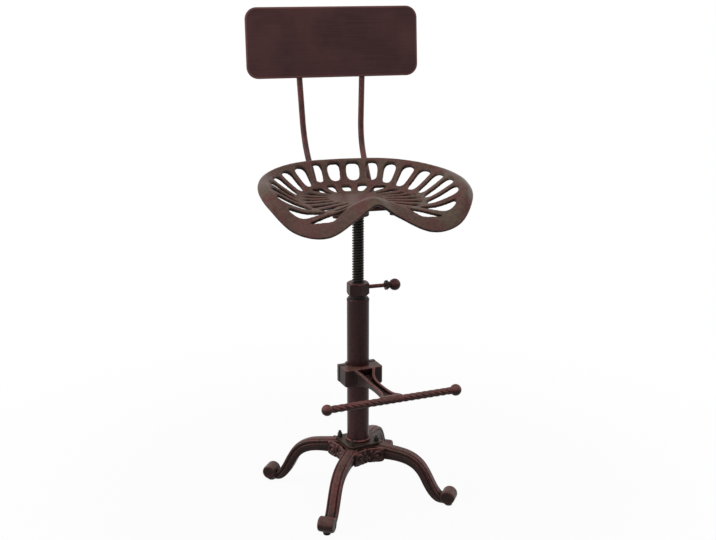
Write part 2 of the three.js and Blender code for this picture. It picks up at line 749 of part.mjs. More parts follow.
function backRod(side) {
  const start = rodPoint(bracketBoltY, 0, side);
  const pelvis = rodPoint(rodPelvisBackset, 0, side);
  const elbow = rodPoint(rodElbowBackset, rodElbowRise, side);
  const end = rodPoint(rodElbowBackset + leanRun * (rodTopRise - rodElbowRise), rodTopRise, side);
  const towards = (from, to, distance) => {
    const heading = to.clone().sub(from).normalize();
    return from.clone().addScaledVector(heading, distance);
  };
  const path = new THREE.CurvePath();
  const bends = [[pelvis, start, elbow, rodPelvisBend], [elbow, pelvis, end, rodElbowBend]];
  let last = start;
  for (const [corner, before, after, reach] of bends) {
    const entry = towards(corner, before, reach);
    const exit = towards(corner, after, reach);
    path.add(new THREE.LineCurve3(last, entry));
    path.add(new THREE.QuadraticBezierCurve3(entry, corner, exit));
    last = exit;
  }
  path.add(new THREE.LineCurve3(last, end));
  const section = new THREE.Shape(arc(0, 0, rodRadius, 0, 360 - 360 / rodSides, rodSides - 1)
    .map(([x, y]) => new THREE.Vector2(x, y)));
  const bar = solidOf(new THREE.ExtrudeGeometry(section, { steps: rodSteps, extrudePath: path }));
  const flatFront = -bracketBoltY - rodFlatOverhang;
  const flatRear = bracketBoltY + rodFlatOverhang;
  const flatPlan = roundedRectangle(rodFlatWidth, flatRear - flatFront, rodFlatWidth / 2 - embed);
  const flat = moved(
    prism(flatPlan, rodFlatBase, bracketPlateBase), side * bracketBoltX, (flatFront + flatRear) / 2, 0,
  );
  const holes = [-1, 1].map((row) => moved(
    rod(bracketBoltRadius + fitGap, rodFlatBase - rodRadius, bracketPlateBase + rodRadius),
    side * bracketBoltX, row * bracketBoltY, 0,
  ));
  const plateEdge = bracketPlateSide / 2 + fitGap;
  const headEdge = bracketBoltY + bracketBoltHeadRadius + embed;
  const rodTop = bracketPlateBase + rodRadius * 2;
  const above = box(-panReach, panReach, -panReach, plateEdge, bracketPlateBase, rodTop);
  const below = box(-panReach, panReach, -panReach, headEdge, rodFlatBase - rodRadius * 2, rodFlatBase);
  return cut(join(bar, flat), above, below, ...holes);
}

function addBack() {
  const lean = new THREE.Group();
  const foot = rodPoint(rodElbowBackset + leanRun * backPlateRise, rodElbowRise + backPlateRise, 0);
  lean.position.set(0, foot.y, foot.z);
  lean.rotation.x = -backLean * degree;
  stool.add(lean);
  const plateRear = -rodRadius - fitGap;
  const plateFront = plateRear - backPlateThickness;
  const plan = roundedRectangle(backPlateWidth, backPlateHeight, backPlateCorner);
  const slab = prism(plan, -backPlateThickness / 2, backPlateThickness / 2, backPlateEdge).rotate([90, 0, 0]);
  const plate = moved(slab, backPlateShift, (plateFront + plateRear) / 2, backPlateHeight / 2);
  const toLean = new THREE.Matrix4().makeRotationX(backLean * degree).multiply(
    new THREE.Matrix4().makeTranslation(0, -foot.y, -foot.z),
  );
  const rivets = [];
  const holes = [];
  const rodHoles = { left: [], right: [] };
  for (const [side, sideName] of [[-1, 'left'], [1, 'right']]) {
    for (const [level, levelName] of [[rivetInset, 'lower'], [rivetInset + rivetPitch, 'upper']]) {
      const x = rodPoint(0, rodElbowRise + backPlateRise + level * Math.cos(backLean * degree), side).x;
      const along = (solid) => moved(solid.rotate([90, 0, 0]), x, 0, level);
      const shank = rod(rivetRadius, -rodRadius - fitGap, -plateFront);
      const head = rod(rivetHeadRadius, -rodRadius - fitGap - rivetHeadHeight, -rodRadius - fitGap);
      rivets.push([`back_rivet_${levelName}_${sideName}`, along(join(head, shank))]);
      holes.push(along(rod(rivetRadius + fitGap, -rodRadius * 2, -plateFront + overrun)));
      rodHoles[sideName].push(along(rod(rivetRadius + fitGap, -rodRadius * 2, rodRadius * 2)));
    }
  }
  place('backrest_plate', cut(plate, ...holes), 'casting', lean);
  for (const [name, solid] of rivets) place(name, solid, 'casting', lean);
  const back = toLean.clone().invert();
  for (const [side, sideName] of [[-1, 'left'], [1, 'right']]) {
    const tools = rodHoles[sideName].map((tool) => tool.transform(back.toArray()));
    place(`back_rod_${sideName}`, cut(backRod(side), ...tools), 'casting');
  }
}

// Footrest

function footrestArm() {
  const scaled = (shares, size) => spline(shares.map(([along, share]) => [along * barReach, share * size]));
  const halves = scaled(armHalfShares, armRootHalf);
  const plan = (inset) => [
    ...halves.map(([y, half]) => [half - inset, -y]),
    ...halves.map(([y, half]) => [inset - half, -y]).reverse(),
  ].reverse();
  const side = [...scaled(armFootShares, clampHeight), ...scaled(armTopShares, clampHeight).reverse()];
  const profile = sidePrism(side, armRootHalf * 4).rotate([0, 0, -90]);
  const arm = prism(plan(0), -clampHeight, clampHeight).intersect(profile);
  const web = prism(plan(armRib), -clampHeight, clampHeight);
  const sunk = web.intersect(cut(profile, moved(profile, 0, 0, -armWebDrop)));
  const limit = box(-armRootHalf, armRootHalf, -armWebReach, -clampFrontDepth - embed, 0, clampHeight);
  return cut(arm, sunk.intersect(limit));
}

function addFootrest() {
  const rest = new THREE.Group();
  rest.position.z = footrestHeight;
  rest.rotation.z = footrestTurn * degree;
  stool.add(rest);
  const base = clampCentreRise - clampHeight / 2;
  const top = clampCentreRise + clampHeight / 2;
  const halfWidth = clampWidth / 2;
  const gap = clampSplit / 2;
  const grip = rod(tubeRadius + fitGap, base - overrun, top + overrun, columnSides);
  const alongY = (solid, x, z) => moved(solid.rotate([90, 0, 0]), x, 0, z);

  const frontPlan = [
    [-halfWidth, -gap], [-halfWidth, clampBevel - clampFrontDepth],
    [clampBevel - halfWidth, -clampFrontDepth], [halfWidth - clampBevel, -clampFrontDepth],
    [halfWidth, clampBevel - clampFrontDepth], [halfWidth, -gap],
  ];
  const block = prism(frontPlan, base, top);
  const saddle = rod(barSleeveRadius, -barSleeveLength / 2, barSleeveLength / 2).rotate([0, 90, 0])
    .intersect(box(-barSpan, barSpan, -barReach, barReach, -barSleeveDrop, clampHeight));
  const sleeveBlank = moved(saddle, barShift, -barReach, 0);
  const barHole = moved(rod(barRadius + fitGap, -barSpan, barSpan).rotate([0, 90, 0]), 0, -barReach, 0);
  const boltHole = clampBoltRadius + fitGap;
  const tapped = [-1, 1].map((side) => alongY(
    rod(boltHole, -clampFrontDepth, clampBoltReach + fitGap), side * clampBoltX, clampCentreRise,
  ));
  const arm = cut(join(block, footrestArm(), sleeveBlank), grip, barHole, ...tapped);
  place('clamp_front', arm, 'casting', rest);

  const archRadius = tubeRadius + clampArchWall;
  const archEdge = Math.asin(clampLugDepth / archRadius) / degree;
  const backPlan = [
    [-halfWidth, clampLugDepth], [-halfWidth, gap], [halfWidth, gap], [halfWidth, clampLugDepth],
    ...arc(0, 0, archRadius, archEdge, 180 - archEdge, smallSides),
  ];
  const through = [-1, 1].map((side) => alongY(
    rod(boltHole, -clampFrontDepth, clampFrontDepth), side * clampBoltX, clampCentreRise,
  ));
  place('clamp_back', cut(prism(backPlan, base, top), grip, ...through), 'casting', rest);

  for (const [side, name] of [[-1, 'left'], [1, 'right']]) {
    const headFace = -clampLugDepth - fitGap;
    const head = rod(clampBoltHeadRadius, headFace - clampBoltHeadHeight, headFace, hexSides);
    const shank = rod(clampBoltRadius, headFace - embed, clampBoltReach);
    place(`clamp_bolt_${name}`, alongY(join(head, shank), side * clampBoltX, clampCentreRise), 'black', rest);
  }

  const barHalf = barSpan / 2 - barBallRadius / 2;
  const alongX = (solid) => moved(solid.rotate([0, 90, 0]), barShift, -barReach, 0);
  place('footrest_bar', alongX(rod(barRadius, -barHalf, barHalf)), 'casting', rest);
  for (const [side, name] of [[-1, 'left'], [1, 'right']]) {
    const socket = rod(barRadius + fitGap, -barBallRadius - overrun, fitGap - barBallRadius / 2);
    const knob = moved(cut(ball(barBallRadius), socket), 0, 0, barSpan / 2);
    const end = side > 0 ? knob : knob.mirror([0, 0, 1]);
    place(`footrest_ball_${name}`, alongX(end), 'casting', rest);
  }
}

addBase();
addColumn();
addLock();
addScrew();
addBracket();
addPan();
addBack();
addFootrest();

// The origin is the middle of the stool's extent, on the floor
stool.updateMatrixWorld(true);
const extent = new THREE.Box3().setFromObject(stool, true);
const middle = extent.getCenter(new THREE.Vector3());
stool.position.set(-middle.x, -middle.y, -extent.min.z);

export default stool;
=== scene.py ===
# %% [markdown]
# # A tractor seat stool
# The real stool is cast iron and steel: a pierced, dished seat pan on a thick height screw, a round
# column on four cabriole legs, a clamped footrest and a plain backrest on two bent rods. We build
# its looks over a CAD model that already fixes every size, so each piece below is drawn in the same
# millimetres as the CAD, about the column's axis, and only turned to metres when it is finished.
#
# ## Loading the frame
# The frame holds the CAD model's pieces and joints. We load it first.

# %% Load the frame
import math

import bpy
from mathutils import Matrix, Vector


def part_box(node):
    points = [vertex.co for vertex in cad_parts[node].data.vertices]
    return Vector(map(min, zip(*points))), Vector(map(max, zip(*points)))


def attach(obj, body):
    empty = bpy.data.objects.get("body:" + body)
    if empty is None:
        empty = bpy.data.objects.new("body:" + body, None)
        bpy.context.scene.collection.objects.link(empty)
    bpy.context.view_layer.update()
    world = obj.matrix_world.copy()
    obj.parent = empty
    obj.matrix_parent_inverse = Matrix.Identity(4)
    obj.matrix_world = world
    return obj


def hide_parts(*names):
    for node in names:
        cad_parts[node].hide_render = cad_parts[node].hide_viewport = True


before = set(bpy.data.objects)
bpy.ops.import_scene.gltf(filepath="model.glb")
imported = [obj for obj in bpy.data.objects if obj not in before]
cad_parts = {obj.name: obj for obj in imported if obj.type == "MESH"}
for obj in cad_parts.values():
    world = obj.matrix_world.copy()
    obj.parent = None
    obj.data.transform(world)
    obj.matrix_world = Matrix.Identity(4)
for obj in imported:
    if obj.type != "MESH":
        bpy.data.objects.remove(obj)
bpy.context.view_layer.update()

# %% [markdown]
# ## Where the column stands
# Almost everything on the stool is placed by its column. The CAD origin is the middle of the
# stool's extent, so we read the column's axis from the tube's own box and keep it as one value.

# %% Millimetres and the column axis
mm = 0.001
tube_low, tube_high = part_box("column_tube")
axis_y = (tube_low.y + tube_high.y) / 2
print("column axis at y =", round(axis_y, 5))

# %% [markdown]
# ## The camera
# The photograph was taken from a little above the seat, slightly to the sitter's right of straight
# ahead. We found the focal length and the tilt by matching the column, the pan's rim and the feet,
# and set them as numbers. The picture is 716 pixels wide and its lens is 1145 pixels long.

# %% Camera
picture_width = 716
lens_pixels = 1145
camera_distance = 2.061
camera_height = 1.015
camera_turn = math.radians(14.68)
camera_tilt = math.radians(15.29)

camera_data = bpy.data.cameras.new("camera")
camera = bpy.data.objects.new("camera", camera_data)
bpy.context.scene.collection.objects.link(camera)
camera_data.sensor_width = 36
camera_data.lens = camera_data.sensor_width * lens_pixels / picture_width
camera.location = (
    -camera_distance * math.sin(camera_turn),
    axis_y - camera_distance * math.cos(camera_turn),
    camera_height,
)
camera.rotation_euler = (math.pi / 2 - camera_tilt, 0, -camera_turn)
bpy.context.scene.camera = camera
print("lens", round(camera_data.lens, 2), "mm")

# %% [markdown]
# ## Helpers for modelling by hand
# Blender's operators act on whatever is selected, so each step starts by selecting one object only.
# Three small makers follow. A slab is a flat outline pulled up, a turned piece is a profile spun
# round, and a lofted piece is a row of rings joined to each other, as a boat's hull is.

# %% Selecting and starting a mesh
def deselect_all():
    if bpy.context.object and bpy.context.object.mode != "OBJECT":
        bpy.ops.object.mode_set(mode="OBJECT")
    bpy.ops.object.select_all(action="DESELECT")


def select_only(obj):
    deselect_all()
    obj.select_set(True)
    bpy.context.view_layer.objects.active = obj


def mesh_object(name, points, faces=(), edges=()):
    mesh = bpy.data.meshes.new(name)
    mesh.from_pydata([tuple(p) for p in points], list(edges), [list(f) for f in faces])
    obj = bpy.data.objects.new(name, mesh)
    bpy.context.scene.collection.objects.link(obj)
    select_only(obj)
    return obj


def tidy_mesh(obj):
    select_only(obj)
    bpy.ops.object.mode_set(mode="EDIT")
    bpy.ops.mesh.select_all(action="SELECT")
    bpy.ops.mesh.remove_doubles(threshold=0.001)
    bpy.ops.mesh.normals_make_consistent(inside=False)
    bpy.ops.object.mode_set(mode="OBJECT")
    return obj


# %% Slab, turned piece and lofted piece
def slab(name, outline, low, high):
    obj = mesh_object(name, [(x, y, low) for x, y in outline], [range(len(outline))])
    bpy.ops.object.mode_set(mode="EDIT")
    bpy.ops.mesh.select_all(action="SELECT")
    bpy.ops.mesh.extrude_region_move(TRANSFORM_OT_translate={"value": (0, 0, high - low)})
    bpy.ops.object.mode_set(mode="OBJECT")
    return tidy_mesh(obj)


def turned(name, profile, steps=96):
    edges = [(i, i + 1) for i in range(len(profile) - 1)]
    obj = mesh_object(name, [(r, 0, z) for r, z in profile], edges=edges)
    bpy.ops.object.mode_set(mode="EDIT")
    bpy.ops.mesh.select_all(action="SELECT")
    bpy.ops.mesh.spin(steps=steps, angle=2 * math.pi, center=(0, 0, 0), axis=(0, 0, 1))
    bpy.ops.object.mode_set(mode="OBJECT")
    return tidy_mesh(obj)


def lofted(name, rings, caps=True):
    count = len(rings[0])
    points = [p for ring in rings for p in ring]
    faces = []
    for r in range(len(rings) - 1):
        for i in range(count):
            j = (i + 1) % count
            faces.append((r * count + i, r * count + j, (r + 1) * count + j, (r + 1) * count + i))
    if caps:
        faces.append(range(count))
        faces.append(range((len(rings) - 1) * count, len(rings) * count))
    return tidy_mesh(mesh_object(name, points, faces))


# %% [markdown]
# ## Helpers for finishing a piece
# A cast piece is made of overlapping solids. A voxel remesh melts them into one skin, and a short
# smoothing rounds every inner and outer corner, just as a sand mould does. A bevel does the same
# for pieces that were machined or pressed.

# %% Turning, joining, cutting, melting and bevelling
def moved(obj, offset=(0, 0, 0), turn=(0, 0, 0)):
    rotation = Matrix.Identity(4)
    for angle, axis in zip(turn, "XYZ"):
        rotation = Matrix.Rotation(math.radians(angle), 4, axis) @ rotation
    obj.data.transform(Matrix.Translation(Vector(offset)) @ rotation)
    return obj


def mirrored(obj):
    obj.data.transform(Matrix.Diagonal((1, -1, 1, 1)))
    obj.data.flip_normals()
    return obj


def copied(obj):
    twin = obj.copy()
    twin.data = obj.data.copy()
    bpy.context.scene.collection.objects.link(twin)
    return twin


def joined(*objects):
    select_only(objects[0])
    for obj in objects[1:]:
        obj.select_set(True)
    bpy.ops.object.join()
    return objects[0]


def apply_modifier(obj, kind, **settings):
    select_only(obj)
    modifier = obj.modifiers.new("step", kind)
    for key, value in settings.items():
        setattr(modifier, key, value)
    bpy.ops.object.modifier_apply(modifier="step")
    return obj


def cut(obj, tool):
    apply_modifier(obj, "BOOLEAN", object=tool, operation="DIFFERENCE", solver="MANIFOLD")
    bpy.data.objects.remove(tool)
    return obj


def melted(obj, voxel, rounds=3):
    apply_modifier(obj, "REMESH", mode="VOXEL", voxel_size=voxel)
    return apply_modifier(obj, "SMOOTH", factor=0.5, iterations=rounds)


def bevelled(obj, width, segments=2):
    return apply_modifier(
        obj, "BEVEL", width=width, segments=segments, limit_method="ANGLE", angle_limit=math.radians(35)
    )


# %% [markdown]
# A finished piece is turned about the column, made metres in its own mesh, and shaded smooth except
# across sharp corners. It is then given its finish and hung on the body it moves with, and the CAD
# pieces it stands for are hidden. A finish is a pair of material and slot. A piece that already has
# two materials brings none.

# %% Putting a finished piece in the frame
def finish_piece(obj, name, body, nodes, finish, turn=0, smooth=40):
    obj.name = name
    obj.data.name = name
    place = Matrix.Translation((0, axis_y, 0)) @ Matrix.Rotation(math.radians(turn), 4, "Z")
    obj.data.transform(place @ Matrix.Scale(mm, 4))
    select_only(obj)
    bpy.ops.object.shade_smooth_by_angle(angle=math.radians(smooth))
    material, slot_name = finish
    if material:
        obj.data.materials.clear()
        obj.data.materials.append(material)
    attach(obj, body)
    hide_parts(*nodes)
    print(name, len(obj.data.polygons), "faces")


# %% [markdown]
# ## Colour and node helpers
# Colours are written as the hex values one would pick in a paint program. A shader works in linear
# light, so one function turns them. Another adds a node with its settings and its links.

# %% Colour and node helpers
def linear(code):
    channels = [int(code[i:i + 2], 16) / 255 for i in (1, 3, 5)]
    straight = [c / 12.92 if c <= 0.04045 else ((c + 0.055) / 1.055) ** 2.4 for c in channels]
    return (*straight, 1)


def add_node(tree, kind, inputs=None, **settings):
    node = tree.nodes.new(kind)
    for key, value in settings.items():
        setattr(node, key, value)
    for key, value in (inputs or {}).items():
        if isinstance(value, bpy.types.NodeSocket):
            tree.links.new(value, node.inputs[key])
        else:
            node.inputs[key].default_value = value
    return node


def new_material(name):
    material = bpy.data.materials.new(name)
    material.use_nodes = True
    material.node_tree.nodes.clear()
    return material, material.node_tree


# %% [markdown]
# ## Finish: antique painted cast iron
# The castings were sprayed with a dark oxblood paint and then rubbed back by hand. So broad patches
# drift between a red and an olive brown, and edges that stand out show a lighter copper red, partly
# worn paint and partly a painted highlight. Walls and undersides are painted darker and hollows
# nearly black, as painted shade. The sand mould leaves a grain of about half a millimetre under the
# paint. We mix a cloud pattern of 45 mm for the drift, a mottling of 6 mm for stains, and the grain
# as bump. Edges come from the mesh's own pointiness, and the painted shade from which way a face
# looks and from how much of the piece itself hides each point. Each step takes the paint so far and
# gives it back changed.

# %% Paint that drifts in colour and is stained
def drifting_paint(tree, place, mottle, red, olive, dark):
    clouds = add_node(tree, "ShaderNodeTexNoise", {"Vector": place, "Scale": 1 / (45 * mm), "Detail": 2})
    drift = add_node(
        tree, "ShaderNodeMapRange", {"Value": clouds.outputs["Fac"], "From Min": 0.36, "From Max": 0.64}
    )
    base = add_node(
        tree, "ShaderNodeMix",
        {"Factor": drift.outputs["Result"], "A": linear(red), "B": linear(olive)}, data_type="RGBA",
    )
    stain = add_node(
        tree, "ShaderNodeMapRange",
        {"Value": mottle, "From Min": 0.38, "From Max": 0.62, "To Min": 0.4, "To Max": 0},
    )
    stained = add_node(
        tree, "ShaderNodeMix",
        {"Factor": stain.outputs["Result"], "A": base.outputs["Result"], "B": linear(dark)},
        data_type="RGBA",
    )
    return stained.outputs["Result"]


# %% Edges that stand out: rubbed through in places, and lighter as a painted highlight
def worn_and_highlit_edges(tree, paint, mottle, edge_wear_and_highlight):
    geometry = add_node(tree, "ShaderNodeNewGeometry")
    # pointiness lightens edges that stand out: partly worn paint, partly a painted highlight
    edge = add_node(
        tree, "ShaderNodeMapRange",
        {"Value": geometry.outputs["Pointiness"], "From Min": 0.505, "From Max": 0.57, "To Max": 0.8},
    )
    patchy = add_node(
        tree, "ShaderNodeMapRange", {"Value": mottle, "From Min": 0.38, "From Max": 0.58, "To Min": 0.25}
    )
    wear_and_highlight_mask = add_node(
        tree, "ShaderNodeMath", {0: edge.outputs["Result"], 1: patchy.outputs["Result"]}, operation="MULTIPLY"
    )
    worn_and_highlit = add_node(
        tree, "ShaderNodeMix", {"Factor": wear_and_highlight_mask.outputs[0], "A": paint, "B": linear(edge_wear_and_highlight)}, data_type="RGBA"
    )
    return worn_and_highlit.outputs["Result"]


# %% Walls, undersides and hollows, darkened as painted shade
def painted_shade_on_walls_and_hollows(tree, paint, wall_shade):
    geometry = add_node(tree, "ShaderNodeNewGeometry")
    # faces that look up keep their colour; walls and undersides are darkened as painted shade
    facing = add_node(tree, "ShaderNodeSeparateXYZ", {"Vector": geometry.outputs["Normal"]})
    reach = add_node(
        tree, "ShaderNodeMapRange",
        {"Value": facing.outputs["Z"], "From Min": 0.0, "From Max": 0.55, "To Min": wall_shade},
        interpolation_type="SMOOTHSTEP",
    )
    # ambient occlusion darkens hollows nearly to black, as painted shade
    open_sky = add_node(tree, "ShaderNodeAmbientOcclusion", {"Distance": 18 * mm}, samples=8, only_local=True)
    hollow = add_node(
        tree, "ShaderNodeMapRange",
        {"Value": open_sky.outputs["AO"], "From Min": 0.35, "From Max": 0.92, "To Min": 0.04},
    )
    shade = add_node(
        tree, "ShaderNodeMath", {0: reach.outputs["Result"], 1: hollow.outputs["Result"]},
        operation="MULTIPLY",
    )
    shaded = add_node(tree, "ShaderNodeVectorMath", {0: paint, "Scale": shade.outputs[0]}, operation="SCALE")
    return shaded.outputs["Vector"]


# %% The whole antique finish
def antique_casting(name, red, olive, dark, edge_wear_and_highlight, roughness, wall_shade, grain=0.25):
    material, tree = new_material(name)
    place = add_node(tree, "ShaderNodeTexCoord").outputs["Object"]
    mottling = add_node(tree, "ShaderNodeTexNoise", {"Vector": place, "Scale": 1 / (6 * mm), "Detail": 4})
    mottle = mottling.outputs["Fac"]
    paint = drifting_paint(tree, place, mottle, red, olive, dark)
    paint = worn_and_highlit_edges(tree, paint, mottle, edge_wear_and_highlight)
    paint = painted_shade_on_walls_and_hollows(tree, paint, wall_shade)

    # The sand grain is drawn at 1.6 mm, coarser than the real one, so that it shows
    sand = add_node(tree, "ShaderNodeTexNoise", {"Vector": place, "Scale": 1 / (1.6 * mm), "Detail": 3})
    bump = add_node(
        tree, "ShaderNodeBump",
        {"Height": sand.outputs["Fac"], "Strength": grain, "Distance": 0.4 * mm},
    )
    gloss = add_node(
        tree, "ShaderNodeMapRange",
        {"Value": mottle, "To Min": roughness - 0.3 * grain, "To Max": roughness + 0.4 * grain},
    )
    shader = add_node(
        tree, "ShaderNodeBsdfPrincipled",
        {
            "Base Color": paint, "Roughness": gloss.outputs["Result"],
            "Normal": bump.outputs["Normal"], "Specular IOR Level": 0.12,
        },
    )
    add_node(tree, "ShaderNodeOutputMaterial", {"Surface": shader.outputs["BSDF"]})
    return material


# %% [markdown]
# One recipe gives five paints. The pan, the legs and the small castings get bright edges, partly
# rubbed paint and partly painted highlight. The tube and the rods are drawn steel, so their paint
# lies smoother and shows hardly any grain.

# %% The painted finishes
# Every finish made by antique_casting darkens walls, undersides and hollows as painted shade, walls by its
# wall_shade, and lightens its edges partly as painted highlight
# Oxblood over sand-cast iron: warm, with copper-red edges, partly worn and partly painted highlight,
# and walls darkened as painted shade
casting = (
    antique_casting(
        "antique_painted_cast_iron", "#6a403e", "#58423b", "#2c1a19", "#935c55", 0.38, wall_shade=0.24
    ),
    "cast_paint",
)
# The same paint on the pan, worn browner and smoother by sitting; its slot walls are painted
# nearly black as shade
pan_paint = (
    antique_casting(
        "antique_painted_seat_pan", "#583631", "#544538", "#2b1a18", "#84544b", 0.38, wall_shade=0.1
    ),
    "cast_paint",
)
# Smooth tube: a dark, even red-brown with a soft streak of light down each side
tube_paint = (
    antique_casting(
        "painted_steel_tube", "#321d1c", "#2e1c1b", "#2b1918", "#45292a", 0.34, wall_shade=0.95, grain=0.05
    ),
    "steel_paint",
)
# Flange and rear clamp half, hardly rubbed: olive brown and dull
flange_paint = (
    antique_casting(
        "antique_painted_flange", "#382925", "#53453a", "#231715", "#6e4843", 0.4, wall_shade=0.3
    ),
    "cast_paint",
)
# Round rods, the reddest pieces, and the glossiest
rod_paint = (
    antique_casting(
        "painted_steel_rod", "#663a38", "#362322", "#331f1e", "#744b47", 0.32, wall_shade=0.9, grain=0.05
    ),
    "cast_paint",
)
print("painted finishes:", len(bpy.data.materials))

# %% [markdown]
# ## Finish: brushed sheet
# The backrest is a flat sheet, brushed sideways before it was painted. Brush lines are long and
# thin, so the pattern is a noise stretched to 70 mm along the sheet and squeezed to 2 mm across it.
# A real brush line is finer; it is drawn this coarse so that it can be seen.

# %% Brushed sheet finish
def brushed_sheet(name, dark, light, warm, edge_wear_and_highlight):
    material, tree = new_material(name)
    place = add_node(tree, "ShaderNodeTexCoord").outputs["Object"]
    stretch = add_node(
        tree, "ShaderNodeMapping",
        {"Vector": place, "Scale": (1 / (70 * mm), 1 / (70 * mm), 1 / (2 * mm))},
    )
    lines = add_node(
        tree, "ShaderNodeTexNoise", {"Vector": stretch.outputs["Vector"], "Scale": 1, "Detail": 4}
    )
    clouds = add_node(tree, "ShaderNodeTexNoise", {"Vector": place, "Scale": 1 / (80 * mm), "Detail": 3})
    streak = add_node(
        tree, "ShaderNodeMapRange", {"Value": lines.outputs["Fac"], "From Min": 0.35, "From Max": 0.65}
    )
    base = add_node(
        tree, "ShaderNodeMix",
        {"Factor": streak.outputs["Result"], "A": linear(dark), "B": linear(light)}, data_type="RGBA",
    )
    tint = add_node(
        tree, "ShaderNodeMapRange",
        {"Value": clouds.outputs["Fac"], "From Min": 0.42, "From Max": 0.68, "To Max": 0.5},
    )
    warmed = add_node(
        tree, "ShaderNodeMix",
        {"Factor": tint.outputs["Result"], "A": base.outputs["Result"], "B": linear(warm)},
        data_type="RGBA",
    )
    # pointiness lightens the bevelled edges, partly as worn paint and partly as a painted highlight
    geometry = add_node(tree, "ShaderNodeNewGeometry")
    edge = add_node(
        tree, "ShaderNodeMapRange",
        {"Value": geometry.outputs["Pointiness"], "From Min": 0.51, "From Max": 0.58, "To Max": 0.7},
    )
    worn_and_highlit = add_node(
        tree, "ShaderNodeMix",
        {"Factor": edge.outputs["Result"], "A": warmed.outputs["Result"], "B": linear(edge_wear_and_highlight)},
        data_type="RGBA",
    )
    bump = add_node(
        tree, "ShaderNodeBump",
        {"Height": lines.outputs["Fac"], "Strength": 0.12, "Distance": 0.3 * mm},
    )
    shader = add_node(
        tree, "ShaderNodeBsdfPrincipled",
        {
            "Base Color": worn_and_highlit.outputs["Result"], "Roughness": 0.42, "Normal": bump.outputs["Normal"],
            "Specular IOR Level": 0.12,
        },
    )
    add_node(tree, "ShaderNodeOutputMaterial", {"Surface": shader.outputs["BSDF"]})
    return material


# %% The backrest's two paints
# The sheet is a dark red-brown with faint level lines, and its border band is a lighter red, a
# painted highlight
sheet_paint = brushed_sheet("brushed_painted_sheet", "#3f2829", "#462e2e", "#5e3b3b", "#7a4f4b")
border_highlight_paint = brushed_sheet("painted_highlight_sheet_border", "#5a3a39", "#6a4644", "#7c504d", "#8a5d57")
print("backrest paints:", sheet_paint.name, border_highlight_paint.name)

# %% [markdown]
# ## Finish: black steel and rubber
# The screw, the bush, the bolts and the nuts are steel blackened in hot oil. It is dark and faintly
# green-brown. The recipe is the castings' own, with hardly any grain, so the roots of its threads are
# darkened as painted shade and its edges lightened as painted highlight. The glides under the feet
# are black moulded rubber, dull and even.

# %% Black steel and rubber
# Oil-blackened steel: nearly black, with a thin light line on its edges as a painted highlight
black_steel = (
    antique_casting(
        "oil_blackened_steel", "#211e19", "#1c1a16", "#0c0b09", "#3f3a31", 0.34, wall_shade=0.9, grain=0.06
    ),
    "black_steel",
)
# Moulded rubber: black and dull
rubber = (
    antique_casting(
        "black_moulded_rubber", "#121211", "#161614", "#0b0b0b", "#1e1e1c", 0.7, wall_shade=0.9, grain=0.12
    ),
    "foot_rubber",
)
print("finishes so far:", len(bpy.data.materials))

# %% [markdown]
# ## The seat pan
# The pan is one casting: a flat hub, a bowl, two flared wings with low front lobes and a raised
# pommel between them, pierced by 39 slots in two rings. No primitive comes near it, so we loft it
# through rings of stations. Each table gives a ring's reach or rise as shares, every 15 degrees
# from the rear, and a smooth curve runs through them both round the pan and from the hub outwards.

# %% Pan tables
pan_reach, pan_rise, pan_thickness, pan_lip, pan_hub = 216, 52, 6, 2.5, 588.1
pan_station = 15
hub_reach = [0.333, 0.333, 0.306, 0.278, 0.259, 0.25, 0.241, 0.231, 0.218, 0.208, 0.204, 0.194, 0.194]
waist_reach = [0.463, 0.449, 0.442, 0.461, 0.475, 0.484, 0.502, 0.537, 0.579, 0.613, 0.593, 0.486, 0.426]
slot_end_reach = [0.56, 0.5625, 0.574, 0.627, 0.681, 0.727, 0.762, 0.819, 0.882, 0.852, 0.741, 0.593, 0.546]
rim_reach = [0.611, 0.613, 0.639, 0.6875, 0.727, 0.787, 0.85, 0.931, 0.993, 0.97, 0.866, 0.685, 0.634]
hub_rise = [0, 0, 0, 0, 0, 0, 0, 0, 0, 0, 0, 0.02, 0.04]
waist_rise = [0.26, 0.26, 0.26, 0.21, 0.16, 0.125, 0.125, 0.115, 0.096, 0.03, 0.058, 0.29, 0.4]
slot_end_rise = [0.94, 0.95, 0.96, 0.93, 0.865, 0.8, 0.76, 0.72, 0.5, -0.15, -0.15, 0.17, 0.46]
rim_rise = [1, 1, 1.01, 0.99, 0.96, 0.885, 0.8, 0.615, 0.25, -0.42, -0.58, -0.1, 0.33]
pan_rings = [
    (hub_reach, hub_rise), (waist_reach, waist_rise), (slot_end_reach, slot_end_rise), (rim_reach, rim_rise),
]
print("pan tables:", len(pan_rings), "rings of", len(hub_reach), "stations")

# %% [markdown]
# The curve passes through every station, so a table's numbers can be read off the finished pan. It
# is written once, and used for tables by angle and for rows of points. The tables hold one side, and
# an angle to the left reads the same station as one to the right.

# %% Curves through stations
def through(a, b, c, d, t):
    return b + (t * (c - a + t * (2 * a - 5 * b + 4 * c - d + t * (3 * (b - c) + d - a)))) / 2


def at_station(table, angle):
    last = len(table) - 1
    at = abs(angle) / pan_station
    i = min(int(at), last - 1)
    near = [table[-k if k < 0 else 2 * last - k if k > last else k] for k in (i - 1, i, i + 1, i + 2)]
    return through(*near, at - i)


def along_curve(knots, share):
    at = share * (len(knots) - 1)
    i = min(int(at), len(knots) - 2)
    near = [knots[max(0, min(k, len(knots) - 1))] for k in (i - 1, i, i + 1, i + 2)]
    return tuple(through(*values, at - i) for values in zip(*near))


def even_curve(knots, steps):
    return [along_curve(knots, i / steps) for i in range(steps + 1)]


